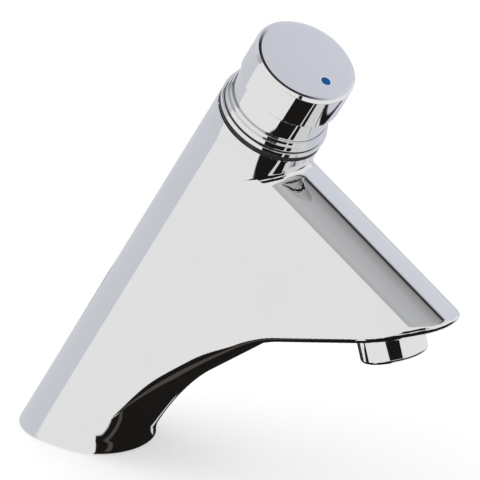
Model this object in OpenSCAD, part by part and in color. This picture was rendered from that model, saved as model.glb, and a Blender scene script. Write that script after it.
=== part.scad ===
// Push timed tap: a self-closing pillar tap with a leaning column, an arched spout and a push button.
// Millimetres, +Z up, +X towards the spout. The origin is the centre of the foot on the deck.

/* [Body] */
// Lean of the column from upright, in degrees
lean_angle = 31.5; // [26:0.5:36]
// Outside diameter of the column and of the round ridge of the spout
body_d = 40; // [38:0.5:46]
// Length of the column along its axis, from the deck to the collar seat
column_len = 168.3; // [160:0.1:185]
// How far behind the origin the column axis crosses the deck
axis_back = 3.5; // [2:0.1:6]
// Step from the top of the spout ridge up to the collar seat
collar_stub = 7; // [4:0.5:12]
// Distance from the origin to the aerator, measured along the deck
spout_reach = 138; // [130:0.5:150]
// How much flatter the ridge runs than square to the column, in degrees
ridge_lift = 1.2; // [0:0.1:2]
// Rise of the spout's underside towards its tip, in degrees
under_rise = 15.8; // [12:0.1:18]
// How far the front edge of the foot is ahead of the origin
foot_front = 25.3; // [24:0.1:28]
// Height of the upright land round the foot
foot_land = 3.5; // [2:0.1:6]
// Wall of the casting round the cartridge and the inlet
wall = 5; // [4:0.1:5.5]
// Wall of the casting round the hollow of the web and the spout
hollow_wall = 4; // [3:0.1:6]

/* [Push button] */
// How much smaller the button's radius is than the column's
button_inset = 1; // [0.5:0.1:1.5]
// Height of the button's side
button_side = 13.4; // [12:0.1:18]
// Rise of the button's low dome
dome_rise = 0.6; // [0.4:0.1:2]
// Travel of the button
button_travel = 7; // [4:0.5:8]
// How much smaller the sleeve's radius is than the column's
sleeve_inset = 2.25; // [2.2:0.05:3]
// Height of the stepped collar ring
collar_h = 8; // [7:0.1:10]
// Gap left between the button's rim and the collar when the button is pressed home
rim_gap = 2.2; // [1.5:0.1:4]
// Diameter of the cold water dot
dot_d = 3.6; // [2.5:0.1:5]
// Distance of the dot from the middle of the button
dot_offset = 10.3; // [8:0.1:13]

/* [Cartridge] */
// Depth of the cartridge chamber below the collar seat
chamber_depth = 73.3; // [70:0.1:76]
// Diameter of the stem
stem_d = 6; // [5:0.1:7]
// Wall of the cartridge housing
housing_wall = 2.9; // [2.5:0.1:3.5]
// Wire diameter of the return spring
spring_wire = 1.6; // [1:0.1:2]
// Number of turns of the return spring
spring_turns = 6; // [4:1:9]
// Bore of the valve seat
seat_bore = 10; // [8:0.1:11]

/* [Aerator] */
// Outside diameter of the aerator housing
aerator_d = 24; // [23:0.1:26]
// How far the aerator stands below the spout
aerator_drop = 10; // [8:0.5:14]
// Diameter of the thread by which the aerator screws in
aerator_thread = 22; // [20:0.1:22]

/* [Inlet and fixing] */
// Diameter over the thread of the inlet shank, a half-inch pipe thread
shank_d = 20.955; // [20.9:0.005:21]
// Length of the threaded tail that the supply connector screws on
tail_len = 17; // [14:0.5:30]
// Bore of the shank
shank_bore = 13; // [11:0.1:14]
// Thickness of the deck that the tap is clamped to
deck_thick = 8; // [5:1:15]
// Diameter of the washers under the deck
washer_d = 36; // [32:1:44]
// Width across the flats of the back nut
nut_af = 30; // [27:1:36]
// Height of the back nut
nut_h = 9; // [7:0.5:12]

/* [Clearances] */
// Radial running clearance of the stem, the piston and the button's skirt guide
running = 0.06; // [0.03:0.01:0.1]
// Radial clearance between pieces that don't move against each other
loose = 0.1; // [0.05:0.01:0.2]
// Gap between a moving piece and a fixed one
moving_gap = 0.35; // [0.3:0.05:0.5]

/* [Hidden] */
$fn = 96;

chrome = [0.80, 0.82, 0.85];
brass = [0.78, 0.62, 0.30];
steel = [0.62, 0.64, 0.66];
rubber = [0.07, 0.07, 0.08];
white_plastic = [0.90, 0.90, 0.88];
grey_plastic = [0.45, 0.47, 0.50];
cold_blue = [0.04, 0.33, 0.55];

// The casting: the web is a hair thinner than the column and the ridge, so that no two faces coincide
skin_step = 0.1;
body_r = body_d / 2;
ridge_r = body_r - skin_step;
web_t = 2 * (ridge_r - skin_step);
ridge_s = column_len - collar_stub - body_r;
ridge_x = ridge_s * sin(lean_angle) - axis_back;
ridge_z = ridge_s * cos(lean_angle);
reach_t = (spout_reach - ridge_x) / cos(lean_angle);
outlet_z = ridge_z - reach_t * sin(lean_angle);
spout_over = 40;
ridge_end = reach_t + spout_over;
ridge_climb = ridge_end * tan(ridge_lift);

// The arch: a land, an arc up from the foot, a straight cone and an arc into the spout's underside
arch_x = foot_front - body_r;
arch_foot_angle = 61.8;
arch_mid_angle = 35.8;
arch_foot_r = 102;
arch_tip_r = 53;
arch_steps = 8;
function arc_step(r, a0, a1) = r * [sin(a0) - sin(a1), cos(a1) - cos(a0)];
function arc_points(start, r, a0, a1) =
    [for (i = [1:arch_steps]) start + arc_step(r, a0, a0 + (a1 - a0) * i / arch_steps)];
under_slope = tan(under_rise);
under_axis_z = outlet_z - under_slope * (spout_reach - arch_x);
arch_start = [body_r, foot_land];
arch_mid = arch_start + arc_step(arch_foot_r, arch_foot_angle, arch_mid_angle);
arch_last = arc_step(arch_tip_r, arch_mid_angle, under_rise);
arch_gap = under_axis_z + under_slope * (arch_mid.x + arch_last.x) - (arch_mid.y + arch_last.y);
arch_run = arch_gap / (sin(arch_mid_angle) - under_slope * cos(arch_mid_angle));
arch_far = arch_mid + arch_run * [cos(arch_mid_angle), sin(arch_mid_angle)];
arch_edge_r = 2 * spout_reach;
arch_top_z = column_len;

// Water spaces of the casting, in the column's own frame: t across towards the spout, s along
chamber_r = body_r - wall;
chamber_s = column_len - chamber_depth;
inlet_room_r = 9;
inlet_bore_r = 5;
socket_depth = 14;
gallery_end = reach_t - body_r;
neck_r = 6;
neck_rise = 4;
neck_end = reach_t - 0.75 * body_r;
web_r = ridge_r - hollow_wall;
hollow_drop = 43;
hollow_toe = 9;
hollow_low = chamber_s - hollow_drop;
hollow_back = inlet_bore_r + wall + 1;
web_hollow = [[0, ridge_s], [gallery_end, ridge_s], [gallery_end - web_r, ridge_s - 2 * web_r],
    [body_r + hollow_toe, chamber_s - wall], [body_r, hollow_low], [hollow_back, hollow_low],
    [hollow_back, chamber_s - 5 * wall], [inlet_room_r + wall, chamber_s - 4 * wall],
    [inlet_room_r + wall, chamber_s + wall]];

// Collar, sleeve and button, along the column axis from the deck
collar_s = column_len;
collar_top = collar_s + collar_h;
button_s = collar_top + button_travel + rim_gap;
sleeve_r = body_r - sleeve_inset;
sleeve_wall = 1.6;
sleeve_flange_r = sleeve_r + 0.9;
sleeve_flange_h = 1.2;
sleeve_lap = 3;
sleeve_top = button_s + sleeve_lap;
collar_shadow = 0.9;
collar_line = 0.3;
collar_low = 0.45 * collar_h;
collar_mid = 0.78 * collar_h;
collar_mid_r = body_r - (body_r - sleeve_r) * 0.36;
collar_top_r = body_r - (body_r - sleeve_r) * 0.64;
collar_bevel = 0.3;
button_r = body_r - button_inset;
button_edge = 1;
button_roof = 2.4;
button_face = button_s + button_side;
button_inner_top = button_face - button_roof;
skirt_r = sleeve_r + moving_gap;
boss_r = 6;
boss_len = 5;
stem_r = stem_d / 2;
stem_thread_r = stem_r - 0.8;
lock_nut_af = 9;
lock_nut_h = 3;
dot_depth = 1.3;
dot_proud = 0.12;
dome_r = button_r - button_edge;
dome_sphere_r = (pow(dome_r, 2) + pow(dome_rise, 2)) / (2 * dome_rise);
dome_steps = 6;
dome_root = 0.5;

// Cartridge, from its head down to the valve
housing_r = chamber_r - loose;
cylinder_r = housing_r - housing_wall;
head_s = column_len - 4;
head_flange_h = 1.2;
head_gasket_h = 0.6;
spigot_h = 9;
head_seat_s = column_len + head_gasket_h;
head_top = head_seat_s + head_flange_h;
spigot_r = cylinder_r - loose;
seat_h = 4;
seat_gasket_h = 1;
seat_s = chamber_s + seat_gasket_h;
housing_s = seat_s + seat_h;
guide_h = 4;
guide_hole_r = 1.6;
guide_s = housing_s + 14;
window_w = 8;
window_h = 9;
windows = 4;
o_ring_r = 1;
o_ring_squeeze = 0.03;
housing_top = head_s;
spring_len = 3 * button_travel + 1;
piston_s = guide_s + guide_h + spring_len;
piston_h = 7;
lip_h = 2.4;
lip_wall = 1.6;
spring_r = cylinder_r - 3;
tail_r = 2;
tail_end = 1;
disc_r = 7.5;
disc_h = 3;
disc_top = chamber_s + seat_gasket_h - moving_gap;
holder_h = 2;
disc_nut_af = 7;
disc_nut_h = 3;
inlet_room_h = disc_h + holder_h + disc_nut_h + tail_end + button_travel + 1;
metering_r = 1.5;
metering_offset = (stem_r + spigot_r) / 2;

// Aerator, in its own frame, with its top face on the spout and pointing down along -Z
aerator_r = aerator_d / 2;
aerator_thread_r = aerator_thread / 2;
spot_depth = 0.6;
aerator_spigot = 8;
aerator_gasket_h = 1.5;
aerator_socket = aerator_spigot + aerator_gasket_h;
outlet_bore_r = 8;
outlet_end = 16;
aerator_bore_r = aerator_thread_r - 1.6;
aerator_lip = 1.5;
aerator_edge = 1.2;
insert_h = 9;
insert_flange_h = 1;
screen_h = 1;
screen_hole_r = 0.7;
screen_pitch = 2.6;
screen_rows = 2;

// Shank, gaskets and clamp
shank_r = shank_d / 2;
clamp_len = 30;
relief_h = 1;
relief_d = 0.6;
shank_len = clamp_len + relief_h + tail_len;
bore_r = shank_bore / 2;
gasket_in = shank_r + 3;
gasket_out = shank_r + 6;
gasket_h = 2;
gasket_lift = 0.1;
fibre_h = 3;
clamp_h = 2;
washer_s = -deck_thick;
clamp_s = washer_s - fibre_h;
nut_s = clamp_s - clamp_h;
limiter_h = 5;
limiter_z = -14;
limiter_holes = 6;
strainer_h = 10;
strainer_z = -shank_len + 2;
strainer_wall = 1;
ledge_w = 1.2;

// Puts children in the column's frame: Z along the column, X across it towards the spout
module lean_frame() {
    translate([-axis_back, 0, 0])
        rotate([0, lean_angle, 0])
            children();
}

// Puts children in the aerator's frame: the origin on the spout's underside, -Z the way the water goes
module aerator_frame() {
    translate([spout_reach, 0, outlet_z])
        rotate([0, -under_rise, 0])
            children();
}

// A plain tube from z0 to z1
module tube(z0, z1, r_out, r_in) {
    difference() {
        translate([0, 0, z0])
            cylinder(h = z1 - z0, r = r_out);
        translate([0, 0, z0 - 1])
            cylinder(h = z1 - z0 + 2, r = r_in);
    }
}

// A plain bar from z0 to z1
module bar(z0, z1, r) {
    translate([0, 0, z0])
        cylinder(h = z1 - z0, r = r);
}

// A rubber ring of round section, with its section's middle at radius r
module o_ring(z, r, section_r) {
    translate([0, 0, z])
        rotate_extrude()
            translate([r, 0])
                circle(r = section_r, $fn = 32);
}

// A square-cut groove round a bar
module groove(z, r, depth, half_h) {
    difference() {
        bar(z - half_h, z + half_h, r + 1);
        bar(z - half_h - 1, z + half_h + 1, r - depth);
    }
}

// A hexagon nut from z0, with a plain bore
module hex_nut(z0, h, af, bore) {
    difference() {
        translate([0, 0, z0])
            cylinder(h = h, d = af / cos(30), $fn = 6);
        translate([0, 0, z0 - 1])
            cylinder(h = h + 2, r = bore);
    }
}

// A coil of round wire, swept as one closed tube from z0 to z1
module coil(z0, z1, r, wire_r, turns) {
    sides = 6;
    per_turn = 12;
    rings = turns * per_turn;
    rise = z1 - z0;
    points = [for (i = [0:rings], k = [0:sides - 1])
        let (a = 360 * i / per_turn, b = 360 * k / sides, rr = r + wire_r * cos(b))
        [rr * cos(a), rr * sin(a), z0 + rise * i / rings + wire_r * sin(b)]];
    skin = [for (i = [0:rings - 1], k = [0:sides - 1])
        let (n = (k + 1) % sides)
        [i * sides + k, i * sides + n, (i + 1) * sides + n, (i + 1) * sides + k]];
    first = [for (k = [sides - 1:-1:0]) k];
    last = [for (k = [0:sides - 1]) rings * sides + k];
    polyhedron(points = points, faces = concat(skin, [first, last]), convexity = 10);
}

// The outline that the arch and the spout's underside leave, turned about an upright axis over the foot
module arch_trumpet() {
    outline = concat(
        [[0, -1], [body_r, -1], arch_start],
        arc_points(arch_start, arch_foot_r, arch_foot_angle, arch_mid_angle),
        [arch_far],
        arc_points(arch_far, arch_tip_r, arch_mid_angle, under_rise),
        [[arch_edge_r, under_axis_z + under_slope * arch_edge_r], [arch_edge_r, arch_top_z], [0, arch_top_z]]);
    translate([arch_x, 0, 0])
        rotate_extrude()
            polygon(outline);
}

// What the arch takes away in front of the foot
module arch_cut() {
    difference() {
        translate([arch_x, -body_d, -1])
            cube([arch_edge_r, 2 * body_d, arch_top_z]);
        arch_trumpet();
    }
}

// The column, the ridge and the web between them, without the arch
module body_mass() {
    lean_frame() {
        bar(-body_r, column_len, body_r);
        translate([0, 0, ridge_s])
            rotate([0, 90 - ridge_lift, 0])
                cylinder(h = ridge_end, r = ridge_r);
        rotate([90, 0, 0])
            linear_extrude(height = web_t, center = true)
                polygon([[0, -body_r], [0, ridge_s], [ridge_end, ridge_s + ridge_climb], [ridge_end, -body_d]]);
    }
}

// Cartridge chamber, inlet passage and the hollow way to the aerator
module water_spaces() {
    lean_frame() {
        bar(chamber_s, column_len + 1, chamber_r);
        bar(chamber_s - inlet_room_h, chamber_s + 1, inlet_room_r);
        bar(socket_depth - 2, chamber_s, inlet_bore_r);
        translate([0, 0, ridge_s])
            rotate([0, 90, 0])
                cylinder(h = gallery_end, r = web_r);
        translate([0, 0, ridge_s + neck_rise])
            rotate([0, 90, 0])
                cylinder(h = neck_end, r = neck_r);
        rotate([90, 0, 0])
            linear_extrude(height = web_t - 2 * hollow_wall, center = true)
                polygon(web_hollow);
    }
    bar(-1, socket_depth, shank_r + loose);
    tube(-1, gasket_h + gasket_lift, gasket_out + loose, gasket_in - loose);
    aerator_frame() {
        bar(-aerator_drop, spot_depth, aerator_r + loose);
        bar(-aerator_drop, aerator_socket, aerator_thread_r + loose);
        bar(-aerator_drop, outlet_end, outlet_bore_r);
    }
}

module body() {
    color(chrome)
        difference() {
            body_mass();
            arch_cut();
            translate([-column_len, -body_d, -2 * column_len])
                cube([3 * column_len, 2 * body_d, 2 * column_len]);
            water_spaces();
        }
}

// A band of the collar from z0 to z1 with a bevelled upper edge
module collar_band(z0, z1, r) {
    bar(z0, z1 - collar_bevel, r);
    translate([0, 0, z1 - collar_bevel])
        cylinder(h = collar_bevel, r1 = r, r2 = r - collar_bevel);
}

// Stepped ring nut that clamps the sleeve's flange on the column, over a shadow line
module collar_ring() {
    color(chrome)
        lean_frame()
            difference() {
                union() {
                    bar(collar_s, collar_s + collar_low, body_r - collar_shadow);
                    collar_band(collar_s + collar_shadow, collar_s + collar_low, body_r);
                    bar(collar_s, collar_s + collar_mid, collar_mid_r - collar_line);
                    collar_band(collar_s + collar_low + collar_line, collar_s + collar_mid, collar_mid_r);
                    collar_band(collar_s, collar_top, collar_top_r);
                }
                bar(collar_s - 1, collar_top + 1, sleeve_r + loose);
                bar(collar_s - 1, head_top + sleeve_flange_h + loose, sleeve_flange_r + loose);
            }
}

// Polished sleeve that guides the button's skirt, flanged under the collar
module guide_sleeve() {
    color(chrome)
        lean_frame()
            difference() {
                union() {
                    bar(head_top, sleeve_top, sleeve_r);
                    bar(head_top, head_top + sleeve_flange_h, sleeve_flange_r);
                }
                bar(head_top - 1, sleeve_top + 1, sleeve_r - sleeve_wall);
            }
}

// The button's low dome, turned about the column's axis
module dome() {
    arc = [for (i = [dome_steps:-1:0]) dome_r * i / dome_steps];
    rotate_extrude()
        polygon(concat([[0, button_face - dome_root], [dome_r, button_face - dome_root]],
            [for (r = arc) [r, dome_z(r)]]));
}

// Push button: a cap with a bevelled edge, a low dome and a threaded boss for the stem
module push_button() {
    color(chrome)
        lean_frame()
            difference() {
                union() {
                    difference() {
                        union() {
                            bar(button_s, button_face - button_edge, button_r);
                            translate([0, 0, button_face - button_edge])
                                cylinder(h = button_edge, r1 = button_r, r2 = dome_r);
                            dome();
                        }
                        bar(button_s - 1, button_inner_top, skirt_r);
                    }
                    bar(button_inner_top - boss_len, button_inner_top + 0.5, boss_r);
                }
                bar(button_inner_top - boss_len - 1, button_inner_top - 1, stem_thread_r + loose);
                translate([dot_offset, 0, dot_floor()])
                    cylinder(h = dot_depth + dome_rise, r = dot_d / 2 + loose / 2, $fn = 48);
            }
}

// Height of the bottom of the dot's pocket: below the dome at the dot's far edge
function dome_z(r) = button_face + dome_rise - dome_sphere_r + sqrt(pow(dome_sphere_r, 2) - pow(r, 2));
function dot_floor() = dome_z(dot_offset) - dot_depth;

module indicator_dot() {
    color(cold_blue)
        lean_frame()
            translate([dot_offset, 0, dot_floor()])
                cylinder(h = dot_depth + dot_proud, r = dot_d / 2, $fn = 48);
}

module stem_lock_nut() {
    color(brass)
        lean_frame()
            hex_nut(button_inner_top - boss_len - lock_nut_h, lock_nut_h, lock_nut_af, stem_thread_r + loose);
}

// Stem: a thin threaded top, a shaft through the head and a tail through the valve seat
module stem() {
    shoulder = button_inner_top - boss_len - lock_nut_h;
    color(steel)
        lean_frame() {
            bar(piston_s, shoulder, stem_r);
            bar(shoulder - 1, button_inner_top - 1.5, stem_thread_r);
            bar(disc_top - disc_h - holder_h - disc_nut_h - tail_end, piston_s + 1, tail_r);
        }
}

// Head of the cartridge, with the stem's gland and a flange on the column's top
module cartridge_head() {
    color(brass)
        lean_frame()
            difference() {
                union() {
                    bar(head_s - spigot_h, head_s + 1, spigot_r);
                    bar(head_s, head_seat_s + 0.5, housing_r - 0.6);
                    bar(head_seat_s, head_top, sleeve_flange_r);
                }
                bar(head_s - spigot_h - 1, head_top + 1, stem_r + running);
                bar(head_top - 3, head_top + 1, stem_r + 2 * o_ring_r);
                translate([metering_offset, 0, 0])
                    bar(head_s - spigot_h - 1, head_top + 1, metering_r + loose);
            }
}

module head_gasket() {
    color(rubber)
        lean_frame()
            tube(column_len, head_seat_s, sleeve_flange_r, chamber_r);
}

module stem_o_ring() {
    color(rubber)
        lean_frame()
            o_ring(head_top - 3 + o_ring_r, stem_r + o_ring_r, o_ring_r - o_ring_squeeze);
}

// Screw that sets how fast the chamber above the piston fills, and so the flow time
module metering_screw() {
    color(steel)
        lean_frame()
            translate([metering_offset, 0, 0])
                difference() {
                    union() {
                        bar(head_s - spigot_h, head_top - 0.5, metering_r);
                        translate([0, 0, head_s - spigot_h - 3])
                            cylinder(h = 3, r1 = 0.3, r2 = metering_r);
                    }
                    translate([-metering_r - 1, -0.3, head_top - 1.5])
                        cube([2 * metering_r + 2, 0.6, 2]);
                }
}

// Tube in which the piston runs, with windows to the spout at its foot
module cartridge_housing() {
    color(grey_plastic)
        lean_frame()
            difference() {
                tube(housing_s, housing_top, housing_r, cylinder_r);
                for (i = [0:windows - 1])
                    rotate([0, 0, i * 360 / windows])
                        translate([0, -window_w / 2, housing_s + 2])
                            cube([housing_r + 1, window_w, window_h]);
                for (s = o_ring_places())
                    groove(s, housing_r, 2 * o_ring_r - loose, o_ring_r + 0.15);
            }
}

function o_ring_places() = [housing_top - 3, housing_top - 6.5];

module cartridge_o_rings() {
    color(rubber)
        lean_frame()
            for (s = o_ring_places())
                o_ring(s, chamber_r - o_ring_r, o_ring_r - o_ring_squeeze);
}

// Piston on the stem, with a recess for its lip seal
module timing_piston() {
    color(white_plastic)
        lean_frame()
            difference() {
                bar(piston_s, piston_s + piston_h, cylinder_r - running);
                bar(piston_s - 1, piston_s + piston_h + 1, stem_r + loose / 2);
                groove(piston_s + piston_h / 2, cylinder_r, lip_wall + loose, lip_h / 2 + loose);
            }
}

module piston_lip_seal() {
    color(rubber)
        lean_frame()
            tube(piston_s + piston_h / 2 - lip_h / 2, piston_s + piston_h / 2 + lip_h / 2,
                cylinder_r - running / 2, cylinder_r - lip_wall + loose / 2);
}

module return_spring() {
    wire_r = spring_wire / 2;
    color(steel)
        lean_frame()
            coil(guide_s + guide_h + wire_r + 0.05, piston_s - wire_r - 0.05, spring_r, wire_r, spring_turns);
}

// Spider that steadies the stem's tail, seats the spring and lets the water by
module stem_guide() {
    color(white_plastic)
        lean_frame()
            difference() {
                bar(guide_s, guide_s + guide_h, cylinder_r - loose);
                bar(guide_s - 1, guide_s + guide_h + 1, tail_r + running);
                for (i = [0:5])
                    rotate([0, 0, i * 60])
                        translate([(tail_r + cylinder_r) / 2, 0, 0])
                            bar(guide_s - 1, guide_s + guide_h + 1, guide_hole_r);
            }
}

module valve_seat() {
    color(brass)
        lean_frame()
            tube(seat_s, housing_s, housing_r, seat_bore / 2);
}

module seat_gasket() {
    color(rubber)
        lean_frame()
            tube(chamber_s, seat_s, housing_r, inlet_room_r);
}

module valve_disc() {
    color(rubber)
        lean_frame()
            tube(disc_top - disc_h, disc_top, disc_r, tail_r + loose / 2);
}

module disc_holder() {
    color(brass)
        lean_frame()
            difference() {
                bar(disc_top - disc_h - holder_h, disc_top - disc_h / 2, disc_r + 0.8);
                bar(disc_top - disc_h, disc_top, disc_r + loose / 2);
                bar(disc_top - disc_h - holder_h - 1, disc_top, tail_r + loose / 2);
            }
}

module disc_nut() {
    color(brass)
        lean_frame()
            hex_nut(disc_top - disc_h - holder_h - disc_nut_h, disc_nut_h, disc_nut_af, tail_r + loose / 2);
}

// Screw-in cup at the spout's end, with a rounded-off rim and a ledge that holds the insert
module aerator_housing() {
    color(chrome)
        aerator_frame()
            difference() {
                union() {
                    bar(-aerator_drop + aerator_edge, spot_depth, aerator_r);
                    translate([0, 0, -aerator_drop])
                        cylinder(h = aerator_edge, r1 = aerator_r - aerator_edge, r2 = aerator_r);
                    bar(-1, aerator_spigot, aerator_thread_r);
                }
                bar(-aerator_drop + aerator_lip, aerator_spigot + 1, aerator_bore_r);
                bar(-aerator_drop - 1, aerator_spigot, aerator_bore_r - ledge_w);
            }
}

module aerator_gasket() {
    color(rubber)
        aerator_frame()
            tube(aerator_spigot, aerator_spigot + aerator_gasket_h, aerator_thread_r, outlet_bore_r);
}

// Plastic core that mixes air into the water
module aerator_insert() {
    z0 = -aerator_drop + aerator_lip + screen_h;
    color(white_plastic)
        aerator_frame()
            difference() {
                bar(z0, z0 + insert_h, aerator_bore_r - loose);
                bar(z0 + insert_flange_h, z0 + insert_h + 1, aerator_bore_r - 2);
                for (ring = [0:screen_rows], i = [0:max(0, ring * 6 - 1)])
                    rotate([0, 0, i * 60 / max(1, ring)])
                        translate([ring * screen_pitch, 0, 0])
                            bar(z0 - 1, z0 + insert_flange_h + 1, screen_hole_r);
            }
}

// Honeycomb disc at the mouth
module aerator_screen() {
    z0 = -aerator_drop + aerator_lip;
    color(grey_plastic)
        aerator_frame()
            difference() {
                bar(z0, z0 + screen_h, aerator_bore_r - loose);
                for (ring = [0:screen_rows], i = [0:max(0, ring * 6 - 1)])
                    rotate([0, 0, i * 60 / max(1, ring)])
                        translate([ring * screen_pitch, 0, 0])
                            bar(z0 - 1, z0 + screen_h + 1, screen_hole_r + 0.2);
            }
}

// Threaded tail that goes through the deck, screwed into the column's foot
module inlet_shank() {
    color(brass)
        difference() {
            bar(-shank_len, socket_depth - 2 * o_ring_r, shank_r);
            bar(-shank_len - 1, socket_depth, bore_r - ledge_w);
            bar(-shank_len - 1, limiter_z, bore_r);
            groove(-clamp_len - relief_h / 2, shank_r, relief_d, relief_h / 2);
        }
}

module shank_o_ring() {
    color(rubber)
        o_ring(socket_depth - o_ring_r, shank_r - o_ring_r, o_ring_r - o_ring_squeeze);
}

module flow_limiter() {
    color(white_plastic)
        difference() {
            bar(limiter_z - limiter_h, limiter_z, bore_r - loose);
            for (i = [0:limiter_holes - 1])
                rotate([0, 0, i * 360 / limiter_holes])
                    translate([bore_r / 2, 0, 0])
                        bar(limiter_z - limiter_h - 1, limiter_z + 1, 0.9);
        }
}

// Cup with slits that keeps grit out of the valve
module inlet_strainer() {
    color(steel)
        difference() {
            bar(strainer_z, strainer_z + strainer_h, bore_r - loose);
            bar(strainer_z - 1, strainer_z + strainer_h - strainer_wall, bore_r - loose - strainer_wall);
            for (i = [0:2])
                rotate([0, 0, i * 60])
                    translate([-bore_r, -0.4, strainer_z + 3])
                        cube([2 * bore_r, 0.8, strainer_h]);
        }
}

module base_gasket() {
    color(rubber)
        tube(gasket_lift, gasket_lift + gasket_h, gasket_out, gasket_in);
}

module deck_washer() {
    color(rubber)
        tube(clamp_s, washer_s, washer_d / 2, shank_r + loose);
}

module clamp_washer() {
    color(steel)
        tube(nut_s, clamp_s, washer_d / 2 - 1, shank_r + loose);
}

module back_nut() {
    color(brass)
        hex_nut(nut_s - nut_h, nut_h, nut_af, shank_r + loose);
}

body();
collar_ring();
guide_sleeve();
push_button();
indicator_dot();
stem_lock_nut();
stem();
cartridge_head();
head_gasket();
stem_o_ring();
metering_screw();
cartridge_housing();
cartridge_o_rings();
timing_piston();
piston_lip_seal();
return_spring();
stem_guide();
valve_seat();
seat_gasket();
valve_disc();
disc_holder();
disc_nut();
aerator_housing();
aerator_gasket();
aerator_insert();
aerator_screen();
inlet_shank();
shank_o_ring();
flow_limiter();
inlet_strainer();
base_gasket();
deck_washer();
clamp_washer();
back_nut();
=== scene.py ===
"""Dresses the push timed tap: chromed casting, button, aerator, cartridge, inlet and a plain studio."""
import logging
import math
from dataclasses import dataclass, field
from enum import Enum
from typing import Any, Callable, ClassVar, NamedTuple, Sequence, Union

import bpy
import numpy as np
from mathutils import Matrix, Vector


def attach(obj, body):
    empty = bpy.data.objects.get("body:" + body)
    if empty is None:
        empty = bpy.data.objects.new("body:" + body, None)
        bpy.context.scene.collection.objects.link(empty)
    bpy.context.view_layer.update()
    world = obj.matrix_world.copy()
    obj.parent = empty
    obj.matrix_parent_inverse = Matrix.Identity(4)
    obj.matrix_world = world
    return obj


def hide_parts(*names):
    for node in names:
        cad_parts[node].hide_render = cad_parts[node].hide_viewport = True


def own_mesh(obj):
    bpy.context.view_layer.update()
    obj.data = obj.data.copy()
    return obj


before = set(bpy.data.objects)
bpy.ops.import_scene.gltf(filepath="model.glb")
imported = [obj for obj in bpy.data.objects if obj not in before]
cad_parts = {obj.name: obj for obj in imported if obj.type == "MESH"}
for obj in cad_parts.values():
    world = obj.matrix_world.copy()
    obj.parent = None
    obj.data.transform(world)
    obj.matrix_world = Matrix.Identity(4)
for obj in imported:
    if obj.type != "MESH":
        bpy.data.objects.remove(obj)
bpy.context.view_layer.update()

LOG = logging.getLogger("tap")
MM = 0.001
Field = Callable[[np.ndarray, np.ndarray, np.ndarray], np.ndarray]
Colour = tuple[float, float, float]


class Body(Enum):
    """The two bodies of the frame."""

    TAP = "tap"
    PLUNGER = "plunger"


class Slot(Enum):
    """The record's material slots."""

    CHROME = "chrome"
    COLD_MARK = "cold_mark"
    BRASS = "brass"
    STEEL = "steel"
    RUBBER = "rubber"
    GREY_PLASTIC = "grey_plastic"
    WHITE_PLASTIC = "white_plastic"


class Blend(Enum):
    """How a colour mix joins its two colours."""

    MIX = "MIX"
    MULTIPLY = "MULTIPLY"


# Shader graphs


class Wire:
    """A shader socket that takes part in Python expressions."""

    def __init__(self, graph: "Graph", socket: bpy.types.NodeSocket) -> None:
        """Keeps the socket and the graph that it belongs to."""
        self.graph = graph
        self.socket = socket

    def _math(self, operation: str, first: "Value", second: "Value") -> "Wire":
        """Adds one Math node.

        Args:
            operation: the Math node's operation.
            first: its first value.
            second: its second value.

        Returns:
            The node's result.
        """
        return self.graph.wire("ShaderNodeMath", {"operation": operation}, {0: first, 1: second})

    def __add__(self, other: "Value") -> "Wire":
        """Adds two values."""
        return self._math("ADD", self, other)

    def __radd__(self, other: "Value") -> "Wire":
        """Adds two values, the number first."""
        return self._math("ADD", other, self)

    def __sub__(self, other: "Value") -> "Wire":
        """Takes a value away."""
        return self._math("SUBTRACT", self, other)

    def __rsub__(self, other: "Value") -> "Wire":
        """Takes this value away from a number."""
        return self._math("SUBTRACT", other, self)

    def __mul__(self, other: "Value") -> "Wire":
        """Multiplies two values."""
        return self._math("MULTIPLY", self, other)

    def __rmul__(self, other: "Value") -> "Wire":
        """Multiplies two values, the number first."""
        return self._math("MULTIPLY", other, self)

    def __truediv__(self, other: "Value") -> "Wire":
        """Divides by a value."""
        return self._math("DIVIDE", self, other)

    def __rtruediv__(self, other: "Value") -> "Wire":
        """Divides a number by this value."""
        return self._math("DIVIDE", other, self)


Value = Union[Wire, float]


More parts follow.
